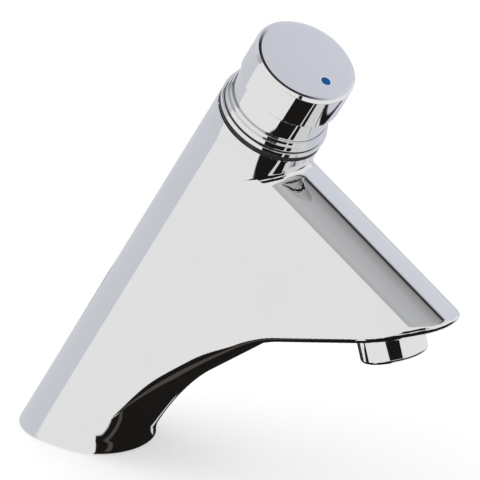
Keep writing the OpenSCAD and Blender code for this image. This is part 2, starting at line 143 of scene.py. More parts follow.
class Graph:
    """A node tree that is written as expressions."""

    def __init__(self, tree: bpy.types.NodeTree) -> None:
        """Empties the tree and keeps it."""
        self.tree = tree
        self.tree.nodes.clear()

    def node(self, kind: str, settings: dict[str, Any], inputs: dict[Any, Any]) -> bpy.types.Node:
        """Makes any node.

        Args:
            kind: the node's type.
            settings: its settings, which are set first; "stops" fills a colour ramp.
            inputs: values or wires for its sockets, by name or number.

        Returns:
            The new node.
        """
        made = self.tree.nodes.new(kind)
        for key, value in settings.items():
            if key == "stops":
                self._fill_ramp(made.color_ramp, value)
            else:
                setattr(made, key, value)
        for key, value in inputs.items():
            if isinstance(value, Wire):
                self.tree.links.new(value.socket, made.inputs[key])
            else:
                made.inputs[key].default_value = value
        return made

    @staticmethod
    def _fill_ramp(ramp: bpy.types.ColorRamp, stops: Sequence[tuple[float, Colour]]) -> None:
        """Sets the stops of a colour ramp.

        Args:
            ramp: the ramp.
            stops: pairs of place and colour, in rising order.
        """
        while len(ramp.elements) < len(stops):
            ramp.elements.new(1.0)
        for element, (place, colour) in zip(ramp.elements, stops):
            element.position = place
            element.color = (*colour, 1.0)

    def wire(self, kind: str, settings: dict[str, Any], inputs: dict[Any, Any], out: Any = 0) -> Wire:
        """Makes a node and returns one of its outputs.

        Args:
            kind: the node's type.
            settings: its settings.
            inputs: its inputs.
            out: the output's name or number.

        Returns:
            The output as a wire.
        """
        return Wire(self, self.node(kind, settings, inputs).outputs[out])

    def mix(self, share: Value, first: Any, second: Any, blend: Blend = Blend.MIX) -> Wire:
        """Mixes two colours.

        Args:
            share: how much of the second colour shows.
            first: a colour or a wire.
            second: a colour or a wire.
            blend: how the two are joined.

        Returns:
            The mixed colour.
        """
        pair = [c if isinstance(c, Wire) else (*c, 1.0) for c in (first, second)]
        settings = {"data_type": "RGBA", "blend_type": blend.value}
        return self.wire("ShaderNodeMix", settings, {0: share, 6: pair[0], 7: pair[1]}, 2)

    def ease(self, value: Value, low: float, high: float) -> Wire:
        """A smooth step from 0 to 1.

        Args:
            value: the value that is tested.
            low: where the step starts.
            high: where the step ends; below low for a falling step.

        Returns:
            The eased share.
        """
        start, end, flip = (low, high, False) if low < high else (high, low, True)
        to = {"To Min": 1.0 if flip else 0.0, "To Max": 0.0 if flip else 1.0}
        inputs = {"Value": value, "From Min": start, "From Max": end, **to}
        return self.wire("ShaderNodeMapRange", {"interpolation_type": "SMOOTHSTEP"}, inputs)

    def band(self, value: Value, rise: tuple[float, float], fall: tuple[float, float]) -> Wire:
        """A share that rises smoothly from 0 to 1 and falls again.

        Args:
            value: the value that is tested.
            rise: where the share leaves 0 and where it reaches 1.
            fall: where the share leaves 1 and where it reaches 0.

        Returns:
            The eased share.
        """
        return self.least(self.ease(value, *rise), self.ease(value, fall[1], fall[0]))

    def least(self, first: Value, second: Value) -> Wire:
        """The lesser of two values."""
        return self.wire("ShaderNodeMath", {"operation": "MINIMUM"}, {0: first, 1: second})

    def most(self, first: Value, second: Value) -> Wire:
        """The greater of two values."""
        return self.wire("ShaderNodeMath", {"operation": "MAXIMUM"}, {0: first, 1: second})

    def split(self, vector: Wire) -> tuple[Wire, Wire, Wire]:
        """The three parts of a vector."""
        parts = self.node("ShaderNodeSeparateXYZ", {}, {0: vector})
        return Wire(self, parts.outputs[0]), Wire(self, parts.outputs[1]), Wire(self, parts.outputs[2])

    def place(self, tilt: float = 0.0) -> Wire:
        """Points of the surface in metres, turned back by a piece's tilt about Y.

        Args:
            tilt: the piece's tilt in degrees.

        Returns:
            The vector.
        """
        spot = self.wire("ShaderNodeTexCoord", {}, {}, "Object")
        if tilt == 0.0:
            return spot
        turn = (0.0, -math.radians(tilt), 0.0)
        return self.wire("ShaderNodeMapping", {}, {"Vector": spot, "Rotation": turn})

    def noise(self, spot: Wire, size_mm: float, detail: float = 3.0) -> Wire:
        """Fine noise.

        Args:
            spot: the points.
            size_mm: the size of its grains in millimetres.
            detail: how many finer layers it has.

        Returns:
            A value about 0.5.
        """
        inputs = {"Vector": spot, "Scale": 1.0 / (size_mm * MM), "Detail": detail}
        return self.wire("ShaderNodeTexNoise", {}, inputs, 0)

    def bump(self, height: Wire, depth_mm: float, strength: float) -> Wire:
        """Turns a height into a surface normal.

        Args:
            height: the height, 0 to 1.
            depth_mm: what a height of 1 stands for.
            strength: how far the normal follows it.

        Returns:
            The normal.
        """
        inputs = {"Height": height, "Distance": depth_mm * MM, "Strength": strength}
        return self.wire("ShaderNodeBump", {}, inputs)

    def finish(self, kind: str, shader: Wire) -> None:
        """Ends the graph.

        Args:
            kind: the output node's type.
            shader: what shows.
        """
        self.node(kind, {}, {"Surface": shader})


# Finishes


@dataclass(frozen=True)
class Finish:
    """A procedural finish; each kind writes its own graph."""

    name: str
    slot: Slot
    made: ClassVar[dict[str, bpy.types.Material]] = {}

    def material(self) -> bpy.types.Material:
        """The finish as a material, made once."""
        if self.name not in Finish.made:
            material = bpy.data.materials.new(self.name)
            material.use_nodes = True
            graph = Graph(material.node_tree)
            graph.finish("ShaderNodeOutputMaterial", self.surface(graph))
            Finish.made[self.name] = material
        return Finish.made[self.name]

    def surface(self, graph: Graph) -> Wire:
        """Writes the graph; each finish has its own."""
        raise NotImplementedError


@dataclass(frozen=True)
class Chrome(Finish):
    """Polished chrome plate with faint polishing haze and wipe marks."""

    tint: Colour = (0.80, 0.80, 0.805)
    haze: Colour = (0.785, 0.787, 0.79)
    rough_low: float = 0.018
    rough_high: float = 0.05
    haze_mm: float = 26.0
    wipe_mm: float = 3.0
    ripple_mm: float = 14.0
    ripple_depth: float = 0.012

    def surface(self, graph: Graph) -> Wire:
        """Chrome: haze in the tint, wipe marks in the gloss and a faint ripple of the polished casting.

        Args:
            graph: the graph to write.

        Returns:
            The shader.
        """
        spot = graph.place()
        haze = graph.noise(spot, self.haze_mm, 2.0)
        wipes = graph.noise(spot, self.wipe_mm, 4.0)
        ripple = graph.noise(spot, self.ripple_mm, 1.0)
        colour = graph.mix(graph.ease(haze, 0.4, 0.75), self.tint, self.haze)
        rough = self.rough_low + (self.rough_high - self.rough_low) * graph.ease(wipes, 0.45, 0.8)
        inputs = {
            "Base Color": colour, "Metallic": 1.0, "Roughness": rough,
            "Normal": graph.bump(ripple, self.ripple_depth, 0.25),
        }
        return graph.wire("ShaderNodeBsdfPrincipled", {}, inputs)


@dataclass(frozen=True)
class Machined(Finish):
    """Turned brass or steel with tool rings and a little tarnish."""

    tint: Colour = (0.78, 0.58, 0.27)
    tarnish: Colour = (0.55, 0.38, 0.16)
    tilt: float = 0.0
    ring_mm: float = 0.5
    rough: float = 0.24

    def surface(self, graph: Graph) -> Wire:
        """Machined metal: rings along the piece's axis and tarnish in patches.

        Args:
            graph: the graph to write.

        Returns:
            The shader.
        """
        spot = graph.place(self.tilt)
        settings = {"wave_type": "BANDS", "bands_direction": "Z", "wave_profile": "SIN"}
        inputs = {"Vector": spot, "Scale": 0.314 / (self.ring_mm * MM), "Distortion": 0.6, "Detail": 2.0}
        rings = graph.wire("ShaderNodeTexWave", settings, inputs, 1)
        patch = graph.ease(graph.noise(spot, 7.0, 4.0), 0.45, 0.75)
        shade = graph.mix(0.8 * patch, self.tint, self.tarnish)
        colour = graph.mix(0.16 * rings, shade, (0.25, 0.2, 0.14), Blend.MULTIPLY)
        result = {
            "Base Color": colour, "Metallic": 1.0, "Roughness": self.rough + 0.12 * patch,
            "Normal": graph.bump(rings, 0.03, 0.3),
        }
        return graph.wire("ShaderNodeBsdfPrincipled", {}, result)


@dataclass(frozen=True)
class Rubber(Finish):
    """Black moulded rubber with a fine grain and a dusty bloom."""

    tint: Colour = (0.018, 0.018, 0.02)
    bloom: Colour = (0.07, 0.07, 0.072)

    def surface(self, graph: Graph) -> Wire:
        """Rubber: fine grain, with a paler bloom in patches.

        Args:
            graph: the graph to write.

        Returns:
            The shader.
        """
        spot = graph.place()
        bloom = graph.ease(graph.noise(spot, 5.0, 5.0), 0.5, 0.8)
        grain = graph.noise(spot, 0.35, 2.0)
        result = {
            "Base Color": graph.mix(bloom, self.tint, self.bloom),
            "Roughness": 0.55 + 0.2 * bloom, "Specular IOR Level": 0.35,
            "Normal": graph.bump(grain, 0.04, 0.35),
        }
        return graph.wire("ShaderNodeBsdfPrincipled", {}, result)


@dataclass(frozen=True)
class Moulded(Finish):
    """Moulded acetal: an even tone with flow marks and a fine spark-eroded grain."""

    tint: Colour = (0.8, 0.8, 0.77)
    flow: Colour = (0.7, 0.7, 0.66)

    def surface(self, graph: Graph) -> Wire:
        """Moulded plastic: flow marks in the tone and a fine grain.

        Args:
            graph: the graph to write.

        Returns:
            The shader.
        """
        spot = graph.place()
        flow = graph.ease(graph.noise(spot, 9.0, 3.0), 0.35, 0.75)
        grain = graph.noise(spot, 0.25, 2.0)
        result = {
            "Base Color": graph.mix(flow, self.tint, self.flow),
            "Roughness": 0.38 + 0.16 * grain,
            "Normal": graph.bump(grain, 0.02, 0.25),
        }
        return graph.wire("ShaderNodeBsdfPrincipled", {}, result)


@dataclass(frozen=True)
class Inlay(Finish):
    """Glossy blue enamel of the cold-water dot."""

    tint: Colour = (0.003, 0.1, 0.29)
    deep: Colour = (0.002, 0.07, 0.22)

    def surface(self, graph: Graph) -> Wire:
        """Enamel: a slightly clouded blue.

        Args:
            graph: the graph to write.

        Returns:
            The shader.
        """
        spot = graph.place()
        cloud = graph.noise(spot, 1.2, 3.0)
        result = {
            "Base Color": graph.mix(graph.ease(cloud, 0.35, 0.7), self.tint, self.deep),
            "Roughness": 0.22 + 0.1 * cloud, "Specular IOR Level": 0.06,
            "Normal": graph.bump(cloud, 0.01, 0.2),
        }
        return graph.wire("ShaderNodeBsdfPrincipled", {}, result)


LEAN = 31.5
CHROME = Chrome("polished_chrome", Slot.CHROME)
BRASS = Machined("turned_brass", Slot.BRASS)
BRASS_LEANING = Machined("turned_brass_leaning", Slot.BRASS, tilt=LEAN)
STEEL = Machined(
    "stainless_steel", Slot.STEEL, tint=(0.6, 0.6, 0.6), tarnish=(0.5, 0.5, 0.49), rough=0.2)
STEEL_LEANING = Machined(
    "stainless_steel_leaning", Slot.STEEL, tint=(0.6, 0.6, 0.6), tarnish=(0.5, 0.5, 0.49), tilt=LEAN,
    rough=0.2)
RUBBER = Rubber("black_rubber", Slot.RUBBER)
WHITE_ACETAL = Moulded("white_acetal", Slot.WHITE_PLASTIC)
GREY_ACETAL = Moulded("grey_acetal", Slot.GREY_PLASTIC, tint=(0.19, 0.2, 0.22), flow=(0.14, 0.15, 0.165))
BLUE_INLAY = Inlay("blue_inlay", Slot.COLD_MARK)


# Meshes


@dataclass(frozen=True)
class Place:
    """A turned frame in the row frame: an origin in millimetres and a tilt about Y."""

    origin: tuple[float, float, float] = (0.0, 0.0, 0.0)
    tilt: float = 0.0

    def turn(self, local: np.ndarray) -> np.ndarray:
        """Turns directions from the frame into the row frame.

        Args:
            local: an array of three columns.

        Returns:
            The turned array.
        """
        s, c = math.sin(math.radians(self.tilt)), math.cos(math.radians(self.tilt))
        x, y, z = local[:, 0], local[:, 1], local[:, 2]
        return np.stack([c * x + s * z, y, c * z - s * x], 1)

    def points(self, local: np.ndarray) -> np.ndarray:
        """Moves points from the frame into the row frame, still in millimetres."""
        return self.turn(local) + np.array(self.origin)


COLUMN = Place((-3.5, 0.0, 0.0), LEAN)
UPRIGHT = Place()


class Shape(NamedTuple):
    """A mesh before it is a Blender object: points in millimetres, faces and normals."""

    points: np.ndarray
    faces: list[tuple[int, ...]]
    normals: np.ndarray
    per_corner: bool = False


@dataclass
class Piece:
    """One visible piece: its shape, what it rides on and what it is made of."""

    name: str
    shape: Shape
    body: Body
    finish: Finish
    stands_for: tuple[str, ...] = ()

    def build(self) -> bpy.types.Object:
        """Makes the object, dresses it and ties it to its body.

        Returns:
            The new object.
        """
        mesh = bpy.data.meshes.new(self.name)
        mesh.from_pydata((self.shape.points * MM).tolist(), [], self.shape.faces)
        mesh.polygons.foreach_set("use_smooth", [True] * len(mesh.polygons))
        normals = self.shape.normals.tolist()
        if self.shape.per_corner:
            mesh.normals_split_custom_set(normals)
        else:
            mesh.normals_split_custom_set_from_vertices(normals)
        mesh.materials.append(self.finish.material())
        made = bpy.data.objects.new(self.name, mesh)
        bpy.context.scene.collection.objects.link(made)
        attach(made, self.body.value)
        if self.stands_for:
            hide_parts(*self.stands_for)
        LOG.info("%s: %d faces on %s", self.name, len(mesh.polygons), self.body.value)
        return made


class Corner(NamedTuple):
    """A corner of a turned outline: radius, height and how far it is rounded, in millimetres."""

    r: float
    z: float
    round: float = 0.15


@dataclass
class Turned:
    """A piece turned about an axis from an outline that runs counter-clockwise in (r, z)."""

    corners: Sequence[Corner]
    place: Place = UPRIGHT
    closed: bool = True
    sides: int = 144
    steps: int = 5

    def outline(self) -> tuple[np.ndarray, np.ndarray]:
        """Rounds the corners.

        Returns:
            The outline's points and its outward normals.
        """
        spots = np.array([(c.r, c.z) for c in self.corners])
        count = len(spots)
        points: list[np.ndarray] = []
        normals: list[np.ndarray] = []
        for i, corner in enumerate(self.corners):
            at_end = not self.closed and i in (0, count - 1)
            ahead = spots[(i + 1) % count] - spots[i] if not (at_end and i) else spots[i] - spots[i - 1]
            behind = spots[i] - spots[i - 1] if not (at_end and not i) else ahead
            reach = min(np.hypot(*ahead), np.hypot(*behind))
            ahead, behind = ahead / np.hypot(*ahead), behind / np.hypot(*behind)
            first, last = math.atan2(-behind[0], behind[1]), math.atan2(-ahead[0], ahead[1])
            turn = (last - first + math.pi) % (2 * math.pi) - math.pi
            if at_end or abs(turn) < 1e-6:
                points.append(spots[i])
                normals.append(np.array([math.cos(first), math.sin(first)]))
                continue
            cut = min(corner.round * math.tan(abs(turn) / 2), 0.45 * reach)
            radius = cut / math.tan(abs(turn) / 2)
            side = math.copysign(radius, turn)
            middle = spots[i] - cut * behind - side * np.array([math.cos(first), math.sin(first)])
            for k in range(self.steps + 1):
                angle = first + turn * k / self.steps
                facing = np.array([math.cos(angle), math.sin(angle)])
                points.append(middle + side * facing)
                normals.append(facing)
        return np.array(points), np.array(normals)

    def shape(self) -> Shape:
        """Turns the outline.

        Returns:
            The turned shape in the row frame.
        """
        outline, facing = self.outline()
        around = np.arange(self.sides) * (2 * math.pi / self.sides)
        c, s = np.cos(around), np.sin(around)
        rings = len(outline)
        points = np.stack([np.outer(outline[:, 0], c), np.outer(outline[:, 0], s),
                           np.repeat(outline[:, 1:], self.sides, 1)], 2).reshape(-1, 3)
        normals = np.stack([np.outer(facing[:, 0], c), np.outer(facing[:, 0], s),
                            np.repeat(facing[:, 1:], self.sides, 1)], 2).reshape(-1, 3)
        last = rings if self.closed else rings - 1
        faces: list[tuple[int, ...]] = []
        for i in range(last):
            a, b = i * self.sides, ((i + 1) % rings) * self.sides
            for j in range(self.sides):
                n = (j + 1) % self.sides
                faces.append((a + j, a + n, b + n, b + j))
        if not self.closed:
            points, normals, faces = self._close_poles(points, normals, faces, rings)
        return Shape(self.place.points(points), faces, self.place.turn(normals))

    def _close_poles(self, points: np.ndarray, normals: np.ndarray, faces: list[tuple[int, ...]],
                     rings: int) -> tuple[np.ndarray, np.ndarray, list[tuple[int, ...]]]:
        """Draws the first and last ring, which lie on the axis, into one point each.

        Args:
            points: the turned points.
            normals: their normals.
            faces: the quads.
            rings: how many rings there are.

        Returns:
            The points, normals and faces with two poles.
        """
        n = self.sides
        low, high = points[:n].mean(0), points[-n:].mean(0)
        kept = np.concatenate([[low], points[n:-n], [high]])
        facing = np.concatenate([normals[:n].mean(0)[None], normals[n:-n], normals[-n:].mean(0)[None]])
        top = len(kept) - 1
        closed: list[tuple[int, ...]] = []
        for face in faces:
            named = [0 if i < n else top if i >= (rings - 1) * n else i - n + 1 for i in face]
            unique = tuple(dict.fromkeys(named))
            if len(unique) > 2:
                closed.append(unique)
        return kept, facing, closed


@dataclass
class Wrapped:
    """A piece whose radius changes round its axis as well as along it, such as a thread or a hexagon."""

    heights: np.ndarray
    radius: Callable[[np.ndarray, np.ndarray], np.ndarray]
    bore: float
    place: Place = UPRIGHT
    sides: int = 144

    def shape(self) -> Shape:
        """Wraps the skin and closes it through the bore.

        Returns:
            The shape in the row frame.
        """
        around = np.arange(self.sides) * (2 * math.pi / self.sides)
        angle, height = np.meshgrid(around, self.heights)
        outer = self.radius(angle, height)
        low, high = self.heights[0], self.heights[-1]
        ring = around[None, :]
        angle = np.concatenate([angle, ring, ring])
        height = np.concatenate([height, np.full_like(ring, high), np.full_like(ring, low)])
        reach = np.concatenate([outer, np.full((2, self.sides), self.bore)])
        points = np.stack([reach * np.cos(angle), reach * np.sin(angle), height], 2).reshape(-1, 3)
        rings = len(height)
        faces: list[tuple[int, ...]] = []
        for i in range(rings):
            a, b = i * self.sides, ((i + 1) % rings) * self.sides
            for j in range(self.sides):
                n = (j + 1) % self.sides
                faces.append((a + j, a + n, b + n, b + j))
        return Shape(self.place.points(points), faces, corner_normals(self.place.points(points), faces), True)


def corner_normals(points: np.ndarray, faces: Sequence[tuple[int, ...]], limit: float = 35.0) -> np.ndarray:
    """Normals for each corner of each quad, smooth over turns below a limit.

    Args:
        points: the points.
        faces: quads.
        limit: the sharpest turn that is still smoothed, in degrees.

    Returns:
        One normal per corner, in the faces' order.
    """
    quads = np.array(faces)
    across = np.cross(points[quads[:, 2]] - points[quads[:, 0]], points[quads[:, 3]] - points[quads[:, 1]])
    size = np.linalg.norm(across, axis=1, keepdims=True)
    flat = across / np.maximum(size, 1e-12)
    touching: list[list[int]] = [[] for _ in range(len(points))]
    for f, quad in enumerate(faces):
        for v in quad:
            touching[v].append(f)
    least = math.cos(math.radians(limit))
    result = np.empty((len(faces) * 4, 3))
    for f, quad in enumerate(faces):
        for k, v in enumerate(quad):
            near = [g for g in touching[v] if flat[g] @ flat[f] >= least] or [f]
            total = across[near].sum(0)
            result[4 * f + k] = total / max(np.linalg.norm(total), 1e-12)
    return result


@dataclass
class Skin:
    """Meshes the zero surface of a distance field, with its creases kept."""

    distance: Field
    low: tuple[float, float, float]
    high: tuple[float, float, float]
    cell: float = 1.2
    nudge: float = 0.02
    stiffness: float = 0.05
    inward: float = 0.15

    def slope(self, p: np.ndarray) -> np.ndarray:
        """The field's unit gradient.

        Args:
            p: points in millimetres.

        Returns:
            One unit vector per point.
        """
        x, y, z = p[:, 0], p[:, 1], p[:, 2]
        h = self.nudge
        g = np.stack([
            self.distance(x + h, y, z) - self.distance(x - h, y, z),
            self.distance(x, y + h, z) - self.distance(x, y - h, z),
            self.distance(x, y, z + h) - self.distance(x, y, z - h)], 1)
        return g / np.maximum(np.linalg.norm(g, axis=1, keepdims=True), 1e-12)

    def crossing(self, start: np.ndarray, end: np.ndarray) -> np.ndarray:
        """Where the field changes sign between two points.

        Args:
            start: points inside or outside.
            end: points on the other side.

        Returns:
            The crossings.
        """
        a, b = np.zeros(len(start)), np.ones(len(start))
        fa, fb = self.distance(*start.T), self.distance(*end.T)
        for _ in range(4):
            t = a + (b - a) * np.clip(fa / (fa - fb), 0.02, 0.98)
            f = self.distance(*(start + (end - start) * t[:, None]).T)
            same = np.sign(f) == np.sign(fa)
            a, fa = np.where(same, t, a), np.where(same, f, fa)
            b, fb = np.where(same, b, t), np.where(same, fb, f)
        t = a + (b - a) * np.clip(fa / np.where(fa == fb, 1.0, fa - fb), 0.0, 1.0)
        return start + (end - start) * t[:, None]

    def shape(self) -> Shape:
        """Places one point in each cell that the surface crosses and joins them with quads.

        Returns:
            The surface, with normals per corner.
        """
        low = np.array(self.low)
        count = np.ceil((np.array(self.high) - low) / self.cell).astype(int) + 1
        axes = [low[i] + self.cell * np.arange(count[i]) for i in range(3)]
        inside = self.distance(*np.meshgrid(*axes, indexing="ij")) < 0
        cells = count - 1
        stride = np.array([cells[1] * cells[2], cells[2], 1])
        owners, spots, facing, flips = [], [], [], []
        for axis in range(3):
            step = np.eye(3, dtype=int)[axis]
            ahead = tuple(slice(step[i], None) for i in range(3))
            here = tuple(slice(None, -1) if step[i] else slice(None) for i in range(3))
            at = np.argwhere(inside[ahead] != inside[here])
            start = low + self.cell * at
            hit = self.crossing(start, start + self.cell * step)
            b, c = (axis + 1) % 3, (axis + 2) % 3
            around = []
            for db, dc in ((-1, -1), (0, -1), (0, 0), (-1, 0)):
                moved = at.copy()
                moved[:, b] += db
                moved[:, c] += dc
                around.append(moved @ stride)
            owners.append(np.stack(around, 1))
            spots.append(hit)
            facing.append(self.slope(hit))
            flips.append(~inside[tuple(at.T)])
        owner, spot = np.concatenate(owners), np.concatenate(spots)
        normal, flip = np.concatenate(facing), np.concatenate(flips)
        ids, quads = np.unique(owner, return_inverse=True)
        quads = quads.reshape(-1, 4)
        points = self._settle(ids, quads, spot, normal, low, cells)
        quads[flip] = quads[flip][:, ::-1]
        middle = points[quads].mean(1, keepdims=True)
        corner = (1 - self.inward) * points[quads] + self.inward * middle
        normals = self.slope(corner.reshape(-1, 3))
        return Shape(points, [tuple(q) for q in quads.tolist()], normals, True)

    def _settle(self, ids: np.ndarray, quads: np.ndarray, spot: np.ndarray, normal: np.ndarray,
                low: np.ndarray, cells: np.ndarray) -> np.ndarray:
        """Finds the point of each cell that lies best on the planes of its crossings.

        Args:
            ids: the cells that the surface crosses.
            quads: for each crossing, the four cells round it.
            spot: the crossings.
            normal: the surface's normals there.
            low: the grid's lowest corner.
            cells: how many cells the grid has along each axis.

        Returns:
            One point per cell.
        """
        size = len(ids)
        reach = np.sum(normal * spot, 1)
        squares = np.zeros((size, 3, 3))
        target, total, share = np.zeros((size, 3)), np.zeros((size, 3)), np.zeros(size)
        for k in range(4):
            own = quads[:, k]
            share += np.bincount(own, minlength=size)
            for i in range(3):
                total[:, i] += np.bincount(own, spot[:, i], size)
                target[:, i] += np.bincount(own, normal[:, i] * reach, size)
                for j in range(3):
                    squares[:, i, j] += np.bincount(own, normal[:, i] * normal[:, j], size)
        middle = total / share[:, None]
        left = squares + self.stiffness * np.eye(3)
        right = target - np.einsum("nij,nj->ni", squares, middle)
        moved = middle + np.linalg.solve(left, right[:, :, None])[:, :, 0]
        corner = np.stack(np.unravel_index(ids, tuple(cells)), 1) * self.cell + low
        return np.clip(moved, corner, corner + self.cell)


# Sub-assemblies


def round_and(a: np.ndarray, b: np.ndarray, radius: Any, facing: Any = 0.0) -> np.ndarray:
    """What lies in both of two solids, with a ball-rolled edge between them.

    Args:
        a: the first solid's distance.
        b: the second solid's distance.
        radius: the radius of the edge.
        facing: the cosine of the angle between the two outward normals.

    Returns:
        The distance of the joint solid.
    """
    u, v = a + radius, b + radius
    ball = np.sqrt(np.maximum(u * u + v * v - 2 * facing * u * v, 0) / (1 - facing * facing)) - radius
    return np.where((u > facing * v) & (v > facing * u), ball, np.maximum(a, b))


def round_or(a: np.ndarray, b: np.ndarray, radius: float, facing: Any = 0.0) -> np.ndarray:
    """Two solids joined with a ball-rolled fillet in the crease.

    Args:
        a: the first solid's distance.
        b: the second solid's distance.
        radius: the radius of the fillet.
        facing: the cosine of the angle between the two outward normals.

    Returns:
        The distance of the joint solid.
    """
    return -round_and(-a, -b, radius, facing)


def smooth(value: np.ndarray, low: float, high: float) -> np.ndarray:
    """A smooth step from 0 at low to 1 at high."""
    t = np.clip((value - low) / (high - low), 0, 1)
    return t * t * (3 - 2 * t)


@dataclass
class Casting:
    """The chromed casting: column, ridge, web, arch and spout in one; sizes in millimetres and degrees."""

    radius: float = 20.0
    axis_back: float = 3.5
    column_len: float = 168.3
    ridge_s: float = 141.3
    ridge_lift: float = 1.45
    spout_reach: float = 138.0
    under_rise: float = 15.8
    arch_x: float = 5.3
    foot_land: float = 3.5
    foot_angle: float = 61.8
    mid_angle: float = 35.8
    foot_arc: float = 102.0
    tip_arc: float = 53.0
    arch_edge: float = 5.2
    spout_edge: float = 2.1
    edge_skew: float = 0.5
    foot_edge: float = 0.5
    foot_blend: float = 1.2
    crease: float = 3.0
    chamber_r: float = 15.0
    chamber_s: float = 95.0
    room_r: float = 9.0
    room_s: float = 77.0
    inlet_r: float = 5.0
    socket_r: float = 10.58
    socket_h: float = 14.0
    groove: tuple[float, float, float] = (13.38, 16.58, 2.1)
    cup_r: float = 12.12
    cup_depth: float = 9.5
    cell: float = 0.8

    def outlet(self) -> tuple[float, float]:
        """Where the aerator's axis leaves the spout: x and z."""
        s, c = math.sin(math.radians(LEAN)), math.cos(math.radians(LEAN))
        x, z = self.ridge_s * s - self.axis_back, self.ridge_s * c
        return self.spout_reach, z - (self.spout_reach - x) / c * s

    def arch(self, rho: np.ndarray, z: np.ndarray) -> tuple[np.ndarray, np.ndarray, np.ndarray]:
        """Distance to the arch, positive in the open space under it.

        Args:
            rho: distance from the upright axis over the foot.
            z: height.

        Returns:
            The distance, and its slope outward and upward.
        """
        a0, a1, a2 = (math.radians(a) for a in (self.foot_angle, self.mid_angle, self.under_rise))
        slope = math.tan(a2)
        out_x, out_z = self.outlet()
        base = out_z - slope * (out_x - self.arch_x)
        p0 = (self.radius, self.foot_land)
        step1 = (self.foot_arc * (math.sin(a0) - math.sin(a1)), self.foot_arc * (math.cos(a1) - math.cos(a0)))
        p1 = (p0[0] + step1[0], p0[1] + step1[1])
        step2 = (self.tip_arc * (math.sin(a1) - math.sin(a2)), self.tip_arc * (math.cos(a2) - math.cos(a1)))
        gap = base + slope * (p1[0] + step2[0]) - (p1[1] + step2[1])
        run = gap / (math.sin(a1) - slope * math.cos(a1))
        p2 = (p1[0] + run * math.cos(a1), p1[1] + run * math.sin(a1))
        p3 = (p2[0] + step2[0], p2[1] + step2[1])
        c1 = (p0[0] + self.foot_arc * math.sin(a0), p0[1] - self.foot_arc * math.cos(a0))
        c2 = (p2[0] + self.tip_arc * math.sin(a1), p2[1] - self.tip_arc * math.cos(a1))
        far1, far2 = np.hypot(rho - c1[0], z - c1[1]), np.hypot(rho - c2[0], z - c2[1])
        low = self.foot_arc - far1
        straight = (rho - p1[0]) * math.sin(a1) - (z - p1[1]) * math.cos(a1)
        bend = self.tip_arc - far2
        tip = (rho - p3[0]) * math.sin(a2) - (z - p3[1]) * math.cos(a2)
        along1 = (rho - p1[0]) * math.cos(a1) + (z - p1[1]) * math.sin(a1)
        along2 = (rho - p2[0]) * math.cos(a1) + (z - p2[1]) * math.sin(a1)
        along3 = (rho - p3[0]) * math.cos(a2) + (z - p3[1]) * math.sin(a2)
        which = [along1 < 0, along2 < 0, along3 < 0]
        chain = np.select(which, [low, straight, bend], tip)
        outward = np.select(which, [(c1[0] - rho) / far1, math.sin(a1), (c2[0] - rho) / far2], math.sin(a2))
        upward = np.select(which, [(c1[1] - z) / far1, -math.cos(a1), (c2[1] - z) / far2], -math.cos(a2))
        return round_or(rho - self.radius, chain, self.foot_blend), outward, upward

    def distance(self, x: np.ndarray, y: np.ndarray, z: np.ndarray) -> np.ndarray:
        """Distance to the casting's skin, negative in the metal.

        Args:
            x: places along the deck, towards the spout.
            y: places across.
            z: heights.

        Returns:
            The distance.
        """
        sn, cs = math.sin(math.radians(LEAN)), math.cos(math.radians(LEAN))
        back = x + self.axis_back
        s, t = back * sn + z * cs, back * cs - z * sn
        r = self.radius
        lift = math.radians(self.ridge_lift)
        above = (s - self.ridge_s) * math.cos(lift) - t * math.sin(lift)
        beyond = np.hypot(np.maximum(-t, 0), np.maximum(above, 0))
        reach = np.hypot(beyond, y)
        plate = reach - r
        across = np.hypot(t, y)
        over = np.maximum(above, 0)
        alike = (y * y + t * np.minimum(t, 0) - t * math.sin(lift) * over) / np.maximum(across * reach, 1.0)
        outer = round_or(plate, across - r, self.crease, np.clip(alike, -0.98, 0.98))
        outer = np.maximum(outer, s - self.column_len)
        rho = np.hypot(np.maximum(x - self.arch_x, 0), y)
        edge = self.foot_edge + (self.arch_edge - self.foot_edge) * smooth(z, 16, 46)
        spout = self.spout_edge - self.edge_skew * np.clip(y / 10, -1, 1)
        edge = edge + (spout - edge) * smooth(rho, 62, 92)
        cut, outward, upward = self.arch(rho, z)
        up_x, up_z = math.sin(math.radians(LEAN) - lift), math.cos(math.radians(LEAN) - lift)
        ahead = outward * np.maximum(x - self.arch_x, 0) / np.maximum(rho, 1e-6)
        aside = outward * y / np.maximum(rho, 1e-6)
        facing = (over * (up_x * ahead + up_z * upward) + y * aside) / np.maximum(reach, 1.0)
        skin = round_and(outer, cut, edge, np.clip(facing, -0.9, 0.9))
        skin = round_and(skin, -z, self.foot_edge)
        for hole in self.holes(x, y, z, s, across):
            skin = np.maximum(skin, -hole)
        return skin

